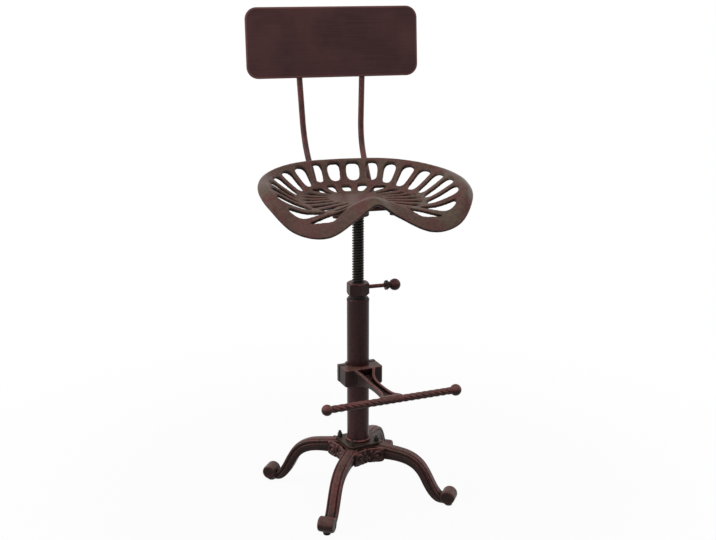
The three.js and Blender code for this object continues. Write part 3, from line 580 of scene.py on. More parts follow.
# %% A point and a direction on the pan's upper face
def pan_point(angle, share):
    knots = [(pan_reach * at_station(r, angle), pan_rise * at_station(h, angle)) for r, h in pan_rings]
    knots[-1] = (knots[-1][0] - pan_lip, knots[-1][1])
    reach, rise = along_curve([(knots[0][0] / 2, 0), *knots], share)
    turn = math.radians(angle)
    return Vector((math.sin(turn) * reach, math.cos(turn) * reach, pan_hub + rise))


def pan_normal(angle, share):
    across = pan_point(angle - 1, share) - pan_point(angle + 1, share)
    outward = pan_point(angle, min(share + 0.01, 1)) - pan_point(angle, share - 0.01)
    return outward.cross(across).normalized()


# %% Loft the shell, with a rounded lip
pan_sectors, pan_steps = 180, 24
angles = [i * 360 / pan_sectors - 180 for i in range(pan_sectors)]
shares = [i / pan_steps for i in range(pan_steps + 1)]
upper = [[pan_point(a, s) for a in angles] for s in shares]
straight_down = Vector((0, 0, -pan_thickness))
downs = [[pan_normal(a, s) * -pan_thickness if s else straight_down for a in angles] for s in shares]
lower = [[p + d for p, d in zip(ring, down)] for ring, down in zip(upper, downs)]
lip, lip_steps = [], 6
for part in range(1, lip_steps):
    bulge = pan_lip * math.sin(math.pi * part / lip_steps)
    out = [Vector((math.sin(math.radians(a)) * bulge, math.cos(math.radians(a)) * bulge, 0)) for a in angles]
    lip.append([p + d * (part / lip_steps) + o for p, d, o in zip(upper[-1], downs[-1], out)])
pan = lofted("pan", upper + lip + lower[::-1])
print("pan shell", len(pan.data.polygons), "faces")

# %% [markdown]
# ## The slots
# A slot is what is left between two bars, so the bars' angles are given and every slot's outline is
# worked out from them. A slot has four corners, each rounded by a curve of seven points between its
# two sides. Most bars lean, so a bar has one angle at its inner end and another at its outer end.

# %% The bars between the slots
outer_bar, inner_bar, waist_width = 9.5, 8.5, 6
outer_starts = [0, 20, 38, 52.5, 68, 86, 102, 118.5, 132.5, 144.5]
outer_ends = [0, 18.5, 35.6, 51, 65.5, 80.5, 95.5, 109.5, 122.5, 134.5]
inner_starts = [10, 26, 42, 57, 73, 92, 113, 134, 151, 164]
inner_ends = [10, 31.5, 54, 71.5, 86.5, 101.5, 116, 129.5, 143, 156]
print("bars on one side:", len(outer_starts), "outer and", len(inner_starts), "inner")


# %% One slot's outline
def polar(angle, reach):
    return Vector((math.sin(math.radians(angle)), math.cos(math.radians(angle)))) * reach


def slot_outline(first, second, near, far, bar, near_round, far_round):
    def side(bar_angles, hand):
        start, end = polar(bar_angles[0], near(bar_angles[0])), polar(bar_angles[1], far(bar_angles[1]))
        along = (end - start).normalized()
        shift = Vector((along.y, -along.x)) * hand * bar / 2
        return start + shift, end + shift

    left, right = side(first, 1), side(second, -1)
    corners = [left[0], right[0], right[1], left[1]]
    rounds = [near_round, near_round, far_round, far_round]
    outline = []
    for i, corner in enumerate(corners):
        back, ahead = corners[i - 1] - corner, corners[(i + 1) % 4] - corner
        reach = min(rounds[i], back.length / 2, ahead.length / 2)
        start, end = corner + back.normalized() * reach, corner + ahead.normalized() * reach
        for k in range(7):
            t = k / 6
            outline.append(start * (1 - t) ** 2 + corner * 2 * t * (1 - t) + end * t * t)
    return outline


def reach_of(table, offset=0):
    return lambda angle: pan_reach * at_station(table, angle) + offset


# %% [markdown]
# A mould needs draft, so a slot narrows towards the underside and its walls show from above. Where
# the pan rises steeply, the walls also lean back with it. Each cutter therefore has four rings: one
# on the pan's face, one above it, a smaller one some way into the wall, shifted along a direction
# between straight up and the pan's own normal, and one that leaves the underside squarely, so that
# no edge is thin as a knife.

# %% The smaller outline inside the wall
taper, far_taper, most_taper = 1.9, 4, 0.42


def tapered(outline):
    # the middle points of the four rounded corners tell which way the slot runs
    near, far = (outline[3] + outline[10]) / 2, (outline[17] + outline[24]) / 2
    along = (far - near).normalized()
    across = Vector((-along.y, along.x))
    middle = (near + far) / 2
    reach = max(abs((point - middle).dot(along)) for point in outline)
    smaller = []
    for point in outline:
        u, v = (point - middle).dot(along), (point - middle).dot(across)
        end = far_taper if u > 0 else taper
        narrower = 1 - min(taper / (abs(v) + 0.1), most_taper)
        smaller.append(middle + along * u * (1 - end / reach) + across * v * narrower)
    return smaller


# %% One slot's cutter
upright, slanted = 0.65, 0.35
above_face, wall_depth, below_wall = 25, 6.5, 9


def slot_cutter(outline, hand):
    above, surface, inside, below = [], [], [], []
    for point, inner in zip(outline, tapered(outline)):
        angle = math.degrees(math.atan2(point.x, point.y))
        # halve the range until the share is known at which the pan's face is as far out as the point
        low, high = 0.0, 1.0
        for _ in range(16):
            middle = (low + high) / 2
            if pan_point(angle, middle).xy.length < point.length:
                low = middle
            else:
                high = middle
        height = pan_point(angle, middle).z
        normal = pan_normal(angle, middle)
        lean = (Vector((0, 0, 1)) * upright + normal * slanted).normalized()
        top = Vector((point.x, point.y, height))
        deep = Vector((inner.x, inner.y, height)) - lean * wall_depth
        spots = (top + lean * above_face, top, deep, deep - normal * below_wall)
        for ring, spot in zip((above, surface, inside, below), spots):
            ring.append((spot.x * hand, spot.y, spot.z))  # hand -1 mirrors the slot to the left
    return lofted("slot", [below, inside, surface, above])


# %% Cut all slots
waist_out, waist_in = reach_of(waist_reach, waist_width / 2), reach_of(waist_reach, -waist_width / 2)
slot_end_extra = 1.5
slot_end, hub_edge = reach_of(slot_end_reach, slot_end_extra), reach_of(hub_reach)
outer_rounds, inner_rounds, last_rounds, rear_widening = (12, 16), (5, 8), (5, 9), 2.5
outlines = []
for i in range(9):
    bars = [(outer_starts[k], outer_ends[k]) for k in (i, i + 1)]
    outlines.append(slot_outline(*bars, waist_out, slot_end, outer_bar, *outer_rounds))
    bars = [(inner_starts[k], inner_ends[k]) for k in (i, i + 1)]
    bar = inner_bar + (rear_widening if i < 3 else 0)
    outlines.append(slot_outline(*bars, hub_edge, waist_in, bar, *inner_rounds))
# the short slot beside the pommel lies between two edges instead of two bars
outlines.append(slot_outline((148.5, 137), (158.5, 150.5), waist_out, slot_end, 0, *last_rounds))
bar = inner_bar + rear_widening
middle_slot = slot_outline((-10, -10), (10, 10), hub_edge, waist_in, bar, *inner_rounds)
cutters = [slot_cutter(outline, hand) for outline in outlines for hand in (1, -1)]
cutters.append(slot_cutter(middle_slot, 1))
print(len(cutters), "slots")
cut(pan, joined(*cutters))
melted(pan, 1.35, rounds=5)
print("pan", len(pan.data.polygons), "faces")

# %% [markdown]
# Under the hub, four low bosses meet the bracket plate. They were cast with the pan, so they are
# joined to its mesh.

# %% Bosses under the hub, and the finished pan
bolt_x, bolt_y, bracket_top = 53, 50, 581.8
foot = bracket_top + 0.3
boss = turned("boss", [(0, foot), (8.4, foot), (9, 583), (9.4, 586), (0, 586)], 32)
bosses = [moved(copied(boss), (x, y, 0)) for x in (-bolt_x, bolt_x) for y in (-bolt_y, bolt_y)]
bpy.data.objects.remove(boss)
joined(pan, *bosses)
finish_piece(pan, "seat_pan_casting", "seat", ["seat_pan"], pan_paint, smooth=60)

# %% [markdown]
# ## The legs
# Each leg is a casting with a cabriole curve: it leaves the column level, falls through a knee and
# an ankle, and ends in a scroll. Its top carries a raised band between two grooves, and a bead runs
# along each flank. We loft it: pairs of points give its top and its underside, and the same
# moulded section is stretched between each pair.

# %% Leg profile and section
leg_pairs = [
    ((12, 106), (12, 80)), ((40, 106), (40, 80)), ((56, 105.5), (56, 80)), ((70, 103.6), (68, 80)),
    ((84, 101.6), (79, 79.3)), ((98, 98.8), (89, 77.8)), ((110, 94.3), (97.5, 75.6)),
    ((120, 88.5), (105.2, 72.4)), ((129, 81), (112.2, 68.2)), ((136, 72.5), (118.2, 62.6)),
    ((142, 63), (124.2, 55)), ((148, 52), (129.6, 45.5)), ((153.5, 41), (135, 35)),
    ((158.5, 32), (141, 25)), ((164, 24.5), (148, 16)), ((168.5, 20), (156.5, 8.6)),
    ((172, 17.5), (165.5, 5.2)), ((178, 16), (178, 5)),
]
scroll_reach, scroll_height, scroll_radius, scroll_half = 182.8, 19.2, 14.2, 15
print("leg profile:", len(leg_pairs), "pairs")


def leg_section(depth):
    # each point is a distance to the side and one down from the leg's top
    bead = min(13, 0.66 * depth)
    half = [
        (0, depth), (8.2, depth), (9.4, depth - 1), (9.4, bead + 1.4), (11.2, bead), (11.5, bead - 1.4),
        (11.4, 8), (9.2, 7.2), (9.2, 5.8), (11.4, 5), (11.5, 1.4), (10.6, 0.1), (9.1, 0), (8.1, 1.9),
        (6.9, 1.9), (5.9, -0.6), (4.9, -1.3), (0, -1.5),
    ]
    return half + [(-s, d) for s, d in half[-2:0:-1]]


# %% Loft one leg
def leg_blade():
    tops = even_curve([pair[0] for pair in leg_pairs], 110)
    unders = even_curve([pair[1] for pair in leg_pairs], 110)
    rings = []
    for (tr, th), (ur, uh) in zip(tops, unders):
        depth = math.hypot(tr - ur, th - uh)
        down = ((ur - tr) / depth, (uh - th) / depth)
        rings.append([(tr + down[0] * d, s, th + down[1] * d) for s, d in leg_section(depth)])
    return lofted("leg_blade", rings)


def scroll():
    r, w = scroll_radius, scroll_half
    half = [(0, -w + 0.6), (7.6, -w + 0.6), (9, -w), (11.8, -w), (13, -w + 0.7), (13.9, -w + 2), (r, -w + 4)]
    roll = turned("scroll", half + [(x, -z) for x, z in half[::-1]], 64)
    return moved(roll, (scroll_reach, 0, scroll_height), (90, 0, 0))


# %% [markdown]
# ## The carved skirts between the legs
# Below the flange, a short scalloped wall joins each leg to its neighbours, carved with scrolls and
# leaves. It is drawn flat, pulled to its thickness, given a ring for the scroll and swollen buds for
# the leaves, and then stood up against the leg. Melting the leg later turns them into one carving.

# %% One skirt
skirt_length, skirt_face, leg_rise = 31, 42.4, 106
skirt_lean = math.degrees(math.atan2(6.7, skirt_length))
skirt_edge = [
    (0, 79), (3.7, 77.2), (9.3, 77.4), (11.8, 79.6), (14.6, 77.4), (22.3, 76.6), (29.5, 77), (31.5, 79),
]


def ring_scroll(x, z, radius, wire):
    deselect_all()
    bpy.ops.mesh.primitive_torus_add(
        location=(0, 0, 0), rotation=(0, 0, 0), major_radius=radius, minor_radius=wire,
        major_segments=48, minor_segments=16,
    )
    return moved(bpy.context.object, (x, skirt_face - 0.8, z), (90, 0, 0))


def bud(x, z, radius, tall=1.0):
    deselect_all()
    bpy.ops.mesh.primitive_uv_sphere_add(
        location=(0, 0, 0), rotation=(0, 0, 0), segments=32, ring_count=20, radius=radius
    )
    bpy.context.object.data.transform(Matrix.Diagonal((1, 0.8, tall, 1)))
    return moved(bpy.context.object, (x, skirt_face - 1, z))


def skirt():
    edge = even_curve(skirt_edge, 40)
    wall = slab("wall", [(0, leg_rise - 0.5), *edge, (31.5, leg_rise - 0.5)], 0, 5)
    moved(wall, (0, skirt_face - 1.4, 0), (90, 0, 0))
    parts = [
        wall, ring_scroll(20.6, 91, 7.6, 2.6), bud(18.4, 88.8, 4.8, 1.1), bud(7, 94, 3.4, 2.6),
        bud(2.4, 84, 4, 1.5), bud(29.6, 85, 3.6, 1.9), bud(12.2, 81.2, 3.8), bud(28.4, 101, 4.2, 1.2),
    ]
    whole = moved(joined(*parts), (0, -skirt_face, 0))
    moved(whole, (0, skirt_face, 0), (0, 0, skirt_lean))
    return moved(whole, (0, 0, 0), (0, 0, -45))


# %% [markdown]
# Blade, scroll, skirts and a quarter of the pad under the flange are melted into one casting. Four
# legs stand round the column, so a wedge then trims each to its own quarter.

# %% One whole leg, melted into one casting
def leg_casting():
    bore_turns = [math.radians(a) for a in (45, 22, 0, -22, -45)]
    quarter = [(12 * math.cos(a), 12 * math.sin(a)) for a in bore_turns]
    pad = slab("pad", [*quarter, (24.2, -24.2), (48.1, 0), (24.2, 24.2)], leg_rise - 9, leg_rise)
    ledge = slab("ledge", [*quarter, (29, -29), (52, 0), (29, 29)], leg_rise - 12, leg_rise - 4.5)
    near = skirt()
    far = mirrored(copied(near))
    sole = turned("sole", [(0, 5), (8, 5), (10, 8), (0, 8)], 32)
    moved(sole, (scroll_reach, 0, 0))
    whole = joined(leg_blade(), scroll(), pad, ledge, near, far, sole)
    melted(whole, 0.8, rounds=2)
    reach, gap = 300, 0.4
    wedge = [(gap, 0), (reach, reach - gap), (reach, reach * 2), (-reach, reach * 2), (-reach, -reach * 2)]
    wedge += [(reach, -reach * 2), (reach, gap - reach)]
    return cut(whole, slab("wedge", wedge, -10, 200))


leg_turn = -32.7
corner_names = ["front_right", "rear_right", "rear_left", "front_left"]
first_leg = leg_casting()
for i, corner in enumerate(corner_names):
    leg = copied(first_leg)
    finish_piece(leg, f"scroll_leg_{corner}", "base", [f"leg_{corner}"], casting, leg_turn + 90 * i, 60)
bpy.data.objects.remove(first_leg)

# %% [markdown]
# ## Glides, flange, studs and nuts
# Small turned pieces: a rubber glide under each scroll, and the square plate of the column with its
# clipped corners, bolted down at each corner by a stud and a hexagon nut.

# %% Glides
glide = turned("glide", [
    (0, 0), (5.6, 0), (6.7, 0.5), (7, 1.4), (7, 4), (6.4, 4.7), (2.5, 4.7), (2.5, 11), (0, 11),
], 48)
moved(glide, (scroll_reach, 0, 0))
for i, corner in enumerate(corner_names):
    turn = leg_turn + 90 * i
    finish_piece(copied(glide), f"foot_glide_{corner}", "base", [f"glide_{corner}"], rubber, turn)
bpy.data.objects.remove(glide)

# %% [markdown]
# A hexagon nut is a cylinder of six sides whose corners are turned off at both ends. So we start
# from that primitive and cut away a turned ring that leaves a chamfer. The column's lock nut and
# the bolts' heads are made in the same way.

# %% Hexagon nuts
def shaved(obj, radius, low, high, foot, head):
    at_foot, at_head, outside = radius - foot[0], radius - head[0], radius * 2
    ring = turned("ring", [
        (at_foot, low - 2), (outside, low - 2), (outside, high + 2), (at_head, high + 2), (at_head, high),
        (radius + 0.1, high - head[1]), (radius + 0.1, low + foot[1]), (at_foot, low), (at_foot, low - 2),
    ], 96)
    return cut(obj, ring)


def six_sided(radius, low, high, turn=0):
    deselect_all()
    bpy.ops.mesh.primitive_cylinder_add(
        location=(0, 0, 0), rotation=(0, 0, 0), vertices=6, radius=radius, depth=high - low
    )
    return moved(bpy.context.object, (0, 0, (low + high) / 2), (0, 0, turn))


def hex_nut(radius, low, high, bore=0.0):
    nut = six_sided(radius, low, high, 30)
    chamfer = (0.14 * radius, 0.1 * radius)
    shaved(nut, radius, low, high, chamfer, chamfer)
    if bore:
        cut(nut, turned("bore", [(0, low - 1), (bore, low - 1), (bore, high + 1), (0, high + 1)], 32))
    return nut


# %% Flange
flange_top, flange_reach, corner_cut, stud_reach = 112, 34 * math.sqrt(2), 4, 37.08
plan = []
for k in range(4):
    turn = math.radians(90 * k)
    for x, y in ((flange_reach - corner_cut, -corner_cut), (flange_reach - corner_cut, corner_cut)):
        plan.append((x * math.cos(turn) - y * math.sin(turn), x * math.sin(turn) + y * math.cos(turn)))
flange = melted(slab("flange", plan, leg_rise, flange_top), 0.7, rounds=3)
cut(flange, turned("bore", [(0, 100), (12, 100), (12, 120), (0, 120)], 48))
finish_piece(flange, "column_flange_plate", "base", ["column_flange"], flange_paint, leg_turn)

# %% Studs and nuts
stud = turned("stud", [(0, 88), (3, 88), (3, 123.2), (2.4, 124), (0, 124)], 24)
moved(stud, (stud_reach, 0, 0))
nut = moved(hex_nut(5, flange_top, 119, 3.05), (stud_reach, 0, 0))
for i, corner in enumerate(corner_names):
    turn = leg_turn + 90 * i
    finish_piece(copied(stud), f"stud_{corner}", "base", [f"flange_stud_{corner}"], black_steel, turn)
    finish_piece(copied(nut), f"nut_{corner}", "base", [f"flange_nut_{corner}"], black_steel, turn, 30)
bpy.data.objects.remove(stud)
bpy.data.objects.remove(nut)

# %% [markdown]
# ## The column
# A 42 mm steel tube, welded to the flange by a rough bead and closed at its top by the bush that
# the screw runs in. The bead is a turned ring with a wavy outline, so that it looks laid by hand.

# %% Tube, weld bead and bush
tube = turned("tube", [
    (18, 112), (21, 112), (21, 391), (21.35, 393.5), (21.5, 395), (21.3, 396.2), (19.3, 398.7), (18.6, 399),
    (18, 399), (18, 112),
], 128)
bead_rings = []
for k in range(120):
    turn = 2 * math.pi * k / 120
    size = 3.5 + 0.15 * math.sin(turn * 17) + 0.1 * math.sin(turn * 29 + 1)
    ring = []
    for j in range(12):
        a = 2 * math.pi * j / 12
        reach = 21.3 + size * 0.8 * (1 + math.cos(a)) - size * 0.8
        rise = 112.1 + size * 0.95 * (1 + math.sin(a)) / 1.25
        ring.append((reach * math.cos(turn), reach * math.sin(turn), rise))
    bead_rings.append(ring)
bead = lofted("bead", bead_rings + bead_rings[:1], caps=False)
tube.data.materials.append(tube_paint[0])
bead.data.materials.append(casting[0])
joined(tube, bead)
finish_piece(tube, "column_tube_and_weld", "base", ["column_tube"], (None, "steel_paint"), 0, 50)
bush = turned("bush", [
    (11.4, 365), (17.7, 365), (17.7, 398.6), (17.2, 399.1), (15.8, 399.2), (15.5, 399.8), (15.5, 403),
    (15, 403.5), (11.4, 403.5), (11.4, 365),
], 96)
finish_piece(bush, "screw_bush", "base", ["thread_bush"], black_steel)

# %% [markdown]
# ## The height screw
# A 22 mm screw with a square thread that rises 5 mm a turn. One tooth is drawn in section and the
# Screw modifier winds it up the shaft. A plain core closes the shaft inside it.

# %% Screw
pitch, thread_turns, screw_low, screw_high = 5, 60, 273, 575.5
tooth = [(8.2, 0), (8.2, 1), (10.9, 1.8), (11.1, 2), (11.1, 3.4), (10.9, 3.6), (8.2, 4.4), (8.2, pitch)]
flanks = [(i, i + 1) for i in range(len(tooth) - 1)]
thread = mesh_object("thread", [(r, 0, z) for r, z in tooth], edges=flanks)
apply_modifier(
    thread, "SCREW", angle=2 * math.pi, screw_offset=pitch, iterations=thread_turns, steps=48,
    render_steps=48, use_merge_vertices=True, merge_threshold=0.01,
)
moved(thread, (0, 0, screw_low))
tidy_mesh(thread)
core = turned("core", [
    (0, 256.7), (6.4, 256.7), (7, 257.5), (7, screw_low), (8.5, screw_low), (8.5, screw_high),
    (0, screw_high),
], 64)
joined(thread, core)
finish_piece(thread, "height_screw", "seat", ["lift_screw"], black_steel, 0, 50)

# %% [markdown]
# ## The lock nut and its lever
# A big six-sided nut locks the screw's height. It is cast, so its edges are soft: we chamfer it as
# the small nuts and then melt it slightly. A round lever is screwed into one face, with a jam nut
# and a washer in front of its ball. They are turned upright and then laid on their side.

# %% Lock nut, lever and jam nut
nut_low, nut_high, lever_turn, lever_level = 403.8, 428.3, 2.3, 417.65
lock = shaved(six_sided(22, nut_low, nut_high), 22, nut_low, nut_high, (4, 4), (3.2, 2.4))
cut(lock, turned("bore", [(0, 400), (11.4, 400), (11.4, 432), (0, 432)], 64))
melted(lock, 0.45, rounds=3)
finish_piece(lock, "lock_nut_casting", "lock", ["lock_nut"], casting, lever_turn, 60)
lever = turned("lever", [(0, 14), (3.75, 14), (3.75, 66.9), (0, 66.9)], 32)
moved(lever, (0, 0, lever_level), (0, 90, 0))
finish_piece(lever, "lever_rod", "lock", ["lock_lever"], casting, lever_turn)
jam = hex_nut(9.6, 53, 58.6, 4.05)
washer = turned("washer", [
    (4.05, 58.4), (6.6, 58.4), (7, 59), (7, 60.4), (6.4, 61), (4.05, 61), (4.05, 58.4),
], 48)
jam = moved(joined(jam, washer), (0, 0, lever_level), (0, 90, 0))
finish_piece(jam, "jam_nut", "lock", ["lever_jam_nut"], black_steel, lever_turn, 30)

# %% [markdown]
# ## Balls
# The lever and both ends of the footrest bar carry turned balls. Each is a sphere with a small neck
# where it meets its rod, which is what the lathe leaves.

# %% Balls
def ball(radius, neck):
    profile = [(0, radius)]
    for k in range(1, 48):
        a = math.pi * k / 48
        r, z = radius * math.sin(a), radius * math.cos(a)
        if z < 0 and r < neck:
            break
        profile.append((r, z))
    profile += [(neck, -math.sqrt(radius ** 2 - neck ** 2)), (neck, -radius * 0.99), (0, -radius * 0.99)]
    return turned("ball", profile[::-1], 64)


knob_ball = moved(ball(11.2, 5.2), (72.5, 0, lever_level), (0, 90, 0))
finish_piece(knob_ball, "lever_ball_casting", "lock", ["lever_ball"], casting, lever_turn, 50)

# %% [markdown]
# ## The footrest
# A cast arm reaches out from a clamp on the column and carries a bar. The arm is two ribs with a
# sunken web between them, wide at the clamp, slim in the middle and flared again at the bar. We
# loft it as the leg was, and melt it together with the clamp's block.

# %% The arm's stations and section
rest_turn, rest_height, bar_reach, bar_shift = 8.2, 249, 155, 2.4
arm_stations = [
    # distance from the axis, half width, top, underside, depth of the web below the top
    (24, 21, 18, -15.3, 14), (34, 20.5, 17.8, -15, 14), (42, 16.5, 15, -13.2, 13),
    (52, 12.6, 11.6, -11, 11.5), (62, 10.8, 8.8, -9, 9.5), (74, 9.8, 7.2, -7.2, 8.2),
    (96, 9.6, 6.8, -6.4, 7.6), (117, 10.4, 6.8, -6.2, 7.4), (132, 12.2, 6.9, -5.8, 6.2),
    (141, 15, 7.2, -5, 4), (147, 19.5, 7.6, -3.6, 1), (152, 22, 7.9, -2.6, 0), (156, 22.5, 7.8, -2.6, 0),
]
print("arm stations:", len(arm_stations))


def arm_section(half, top, foot, sink):
    rib = min(5.5, half * 0.5)
    bead = top - min(8, (top - foot) * 0.5)
    side = [
        (half - 2.6, foot), (half - 1.8, foot + 0.8), (half - 1.8, bead - 1.2), (half, bead),
        (half + 0.3, top - 2.2), (half - 0.8, top - 0.3), (half - 2.2, top + 0.1),
        (half - rib + 0.8, top - 0.1), (half - rib, top - min(sink, 1.4)), (half - rib - 0.6, top - sink),
    ]
    return side + [(-x, z) for x, z in side[::-1]]


# %% Arm, block and saddle, melted into one casting
rings = []
for values in even_curve(arm_stations, 96):
    rings.append([(x, -values[0], z) for x, z in arm_section(*values[1:])])
arm = lofted("arm", rings)
block_half, block_depth, block_low, block_high = 38, 33, -15.3, 18.1
plan = [
    (-block_half, -1.5), (-block_half, -29), (-34, -block_depth), (34, -block_depth), (block_half, -29),
    (block_half, -1.5),
]
block = bevelled(slab("block", plan, block_low, block_high), 1, 2)
half_saddle = [(0, -20), (5.5, -20), (7.6, -18.6), (8.2, -15), (8.4, -8)]
saddle = turned("saddle", half_saddle + [(r, -z) for r, z in half_saddle[::-1]], 48)
moved(saddle, (bar_shift, -bar_reach, 0), (0, 90, 0))
cut(saddle, slab("below", [(-40, -180), (40, -180), (40, -130), (-40, -130)], -20, -3))
clamp = joined(block, arm, saddle)
melted(clamp, 0.8, rounds=2)
cut(clamp, turned("grip", [(0, -30), (21.2, -30), (21.2, 30), (0, 30)], 96))
moved(clamp, (0, 0, rest_height))
finish_piece(clamp, "footrest_arm_casting", "footrest", ["clamp_front"], casting, rest_turn, 55)

# %% [markdown]
# The rear half of the clamp is a plain band round the tube with a lug at each side. It is one
# outline, pulled up and melted. Two hexagon bolts pull it towards the arm's block.

# %% Rear half of the clamp
def arc(radius, first, last, steps):
    turns = [math.radians(first + (last - first) * k / steps) for k in range(steps + 1)]
    return [(radius * math.cos(a), radius * math.sin(a)) for a in turns]


lug = math.degrees(math.asin(12 / 26))
plan = [
    (-block_half, 12), (-block_half, 1.5), *arc(21.2, 176, 4, 40), (block_half, 1.5), (block_half, 12),
    *arc(26, lug, 180 - lug, 36),
]
rear = melted(slab("rear", plan, block_low, block_high), 0.7, rounds=3)
moved(rear, (0, 0, rest_height))
finish_piece(rear, "footrest_clamp_rear", "footrest", ["clamp_back"], flange_paint, rest_turn, 60)

# %% Clamp bolts
bolt_spread, bolt_seat, bolt_level = 30, 12.3, rest_height + 1.4
shank = turned("shank", [(0, -34), (4, -34), (4, 0.5), (0, 0.5)], 32)
clamp_bolt = joined(hex_nut(6.4, 0, 5.5), shank)
for side, name in ((-1, "left"), (1, "right")):
    bolt = moved(copied(clamp_bolt), (side * bolt_spread, bolt_seat, bolt_level), (-90, 0, 0))
    finish_piece(bolt, f"clamp_screw_{name}", "footrest", [f"clamp_bolt_{name}"], black_steel, rest_turn, 30)
bpy.data.objects.remove(clamp_bolt)

# %% [markdown]
# ## The twisted bar
# The bar is forged with four strands that wind round it like a rope. One section with four lobes is
# drawn, and the Screw modifier turns it as it climbs. On the real bar, the left ball is a little
# smaller than the right one.

# %% Twisted bar
bar_length, strand_lead = 241.8, 50
section = []
for k in range(64):
    a = 2 * math.pi * k / 64
    swell = 5.5 + 1.3 * abs(math.cos(2 * a)) ** 0.8
    section.append((swell * math.cos(a), swell * math.sin(a), 0))
bar = mesh_object("bar", section, edges=[(i, (i + 1) % 64) for i in range(64)])
apply_modifier(
    bar, "SCREW", angle=2 * math.pi * bar_length / strand_lead, screw_offset=bar_length, steps=240,
    render_steps=240, iterations=1,
)
bpy.ops.object.mode_set(mode="EDIT")
bpy.ops.mesh.select_all(action="SELECT")
bpy.ops.mesh.fill_holes(sides=80)
bpy.ops.object.mode_set(mode="OBJECT")
tidy_mesh(bar)
moved(bar, (0, 0, -bar_length / 2))
moved(bar, (bar_shift, -bar_reach, rest_height), (0, 90, 0))
finish_piece(bar, "twisted_bar", "footrest", ["footrest_bar"], casting, rest_turn, 50)

# %% The bar's balls
ball_reach = 126.6
for side, name, radius in ((-1, "left", 10.1), (1, "right", 10.8)):
    end = ball(radius, 5)
    moved(end, (bar_shift + side * ball_reach, -bar_reach, rest_height), (0, 90 * side, 0))
    finish_piece(end, f"bar_ball_{name}", "footrest", [f"footrest_ball_{name}"], casting, rest_turn, 50)

# %% [markdown]
# ## Under the seat
# A turned boss takes the screw and carries a square plate. Four bolts hold the two back rods and
# the pan to it.

# %% Bracket
def rounded_rectangle(width, height, corner, steps=8):
    x, y = width / 2 - corner, height / 2 - corner
    points = []
    for cx, cy, start in ((x, y, 0), (-x, y, 90), (-x, -y, 180), (x, -y, 270)):
        points += [(cx + px, cy + py) for px, py in arc(corner, start, start + 90, steps)]
    return points


plate = bevelled(slab("plate", rounded_rectangle(122, 122, 14), 575.8, bracket_top), 0.8, 2)
boss = turned("boss", [
    (11.4, 555.8), (19.3, 555.8), (20.5, 557), (20.5, 574), (22.5, 576.5), (11.4, 576.5), (11.4, 555.8),
])
finish_piece(joined(plate, boss), "bracket_plate", "seat", ["seat_bracket"], casting, 0, 35)

# %% Bracket bolts
bolt_places = ((bolt_x, -bolt_y), (bolt_x, bolt_y), (-bolt_x, bolt_y), (-bolt_x, -bolt_y))
shank = turned("shank", [(0, 569), (4, 569), (4, 585.3), (0, 585.3)], 32)
bracket_bolt = joined(hex_nut(7, 564.8, 569.8), shank)
for corner, (x, y) in zip(corner_names, bolt_places):
    bolt = moved(copied(bracket_bolt), (x, y, 0))
    finish_piece(bolt, f"bracket_screw_{corner}", "seat", [f"bracket_bolt_{corner}"], casting, 0, 30)
bpy.data.objects.remove(bracket_bolt)

# %% [markdown]
# ## The back rods
# Each rod is one round bar with two bends, flattened under the plate where it is bolted. We walk
# along its path, round each bend by a curve, and loft a circle that stays square to the path.

# %% The path of a back rod
rod_level, rod_radius, splay, lean = 572.8, 5.75, 2.6, 5.2
low_bend_back, high_bend_back, high_bend_rise, rod_top, back_foot = 99, 199, 90, 307, 215
low_round, high_round = 26, 45
lean_run = math.tan(math.radians(lean))


def rod_point(backset, rise, side):
    spread = math.tan(math.radians(splay)) * max(0, rise)
    return Vector((side * (bolt_x + spread), backset, rod_level + rise))


def rod_path(side):
    start, low = rod_point(bolt_y, 0, side), rod_point(low_bend_back, 0, side)
    high = rod_point(high_bend_back, high_bend_rise, side)
    end = rod_point(high_bend_back + lean_run * (rod_top - high_bend_rise), rod_top, side)
    path = [start]
    for corner, before, after, reach in ((low, start, high, low_round), (high, low, end, high_round)):
        entry = corner + (before - corner).normalized() * reach
        leave = corner + (after - corner).normalized() * reach
        for k in range(17):
            t = k / 16
            path.append(entry * (1 - t) ** 2 + corner * 2 * t * (1 - t) + leave * t * t)
    return path + [end]


# %% Loft the rods
circle = [(math.cos(2 * math.pi * k / 32), math.sin(2 * math.pi * k / 32)) for k in range(32)]
for side, name in ((-1, "left"), (1, "right")):
    path = rod_path(side)
    rings = []
    for i, point in enumerate(path):
        ahead = (path[min(i + 1, len(path) - 1)] - path[max(i - 1, 0)]).normalized()
        across = Vector((1, 0, 0))
        across = (across - ahead * across.dot(ahead)).normalized()
        up = ahead.cross(across)
        rings.append([point + (across * x + up * y) * rod_radius for x, y in circle])
    round_bar = lofted("round_bar", rings)
    flat = bevelled(slab("flat", rounded_rectangle(17, 122, 7.5), 569.8, 575.5), 0.8, 2)
    moved(flat, (side * bolt_x, 0, 0))
    cut(round_bar, slab("above", rounded_rectangle(400, 122.6, 1), 575.5, 590))
    finish_piece(joined(round_bar, flat), f"bent_rod_{name}", "seat", [f"back_rod_{name}"], rod_paint, 0, 50)

# %% [markdown]
# ## The backrest
# A flat sheet with round corners. Its edge is bevelled, and two insets leave a narrow band along the
# border, which takes a lighter paint as a painted highlight. Four rivets come through the rods from
# behind and end inside the sheet, so its front stays plain.

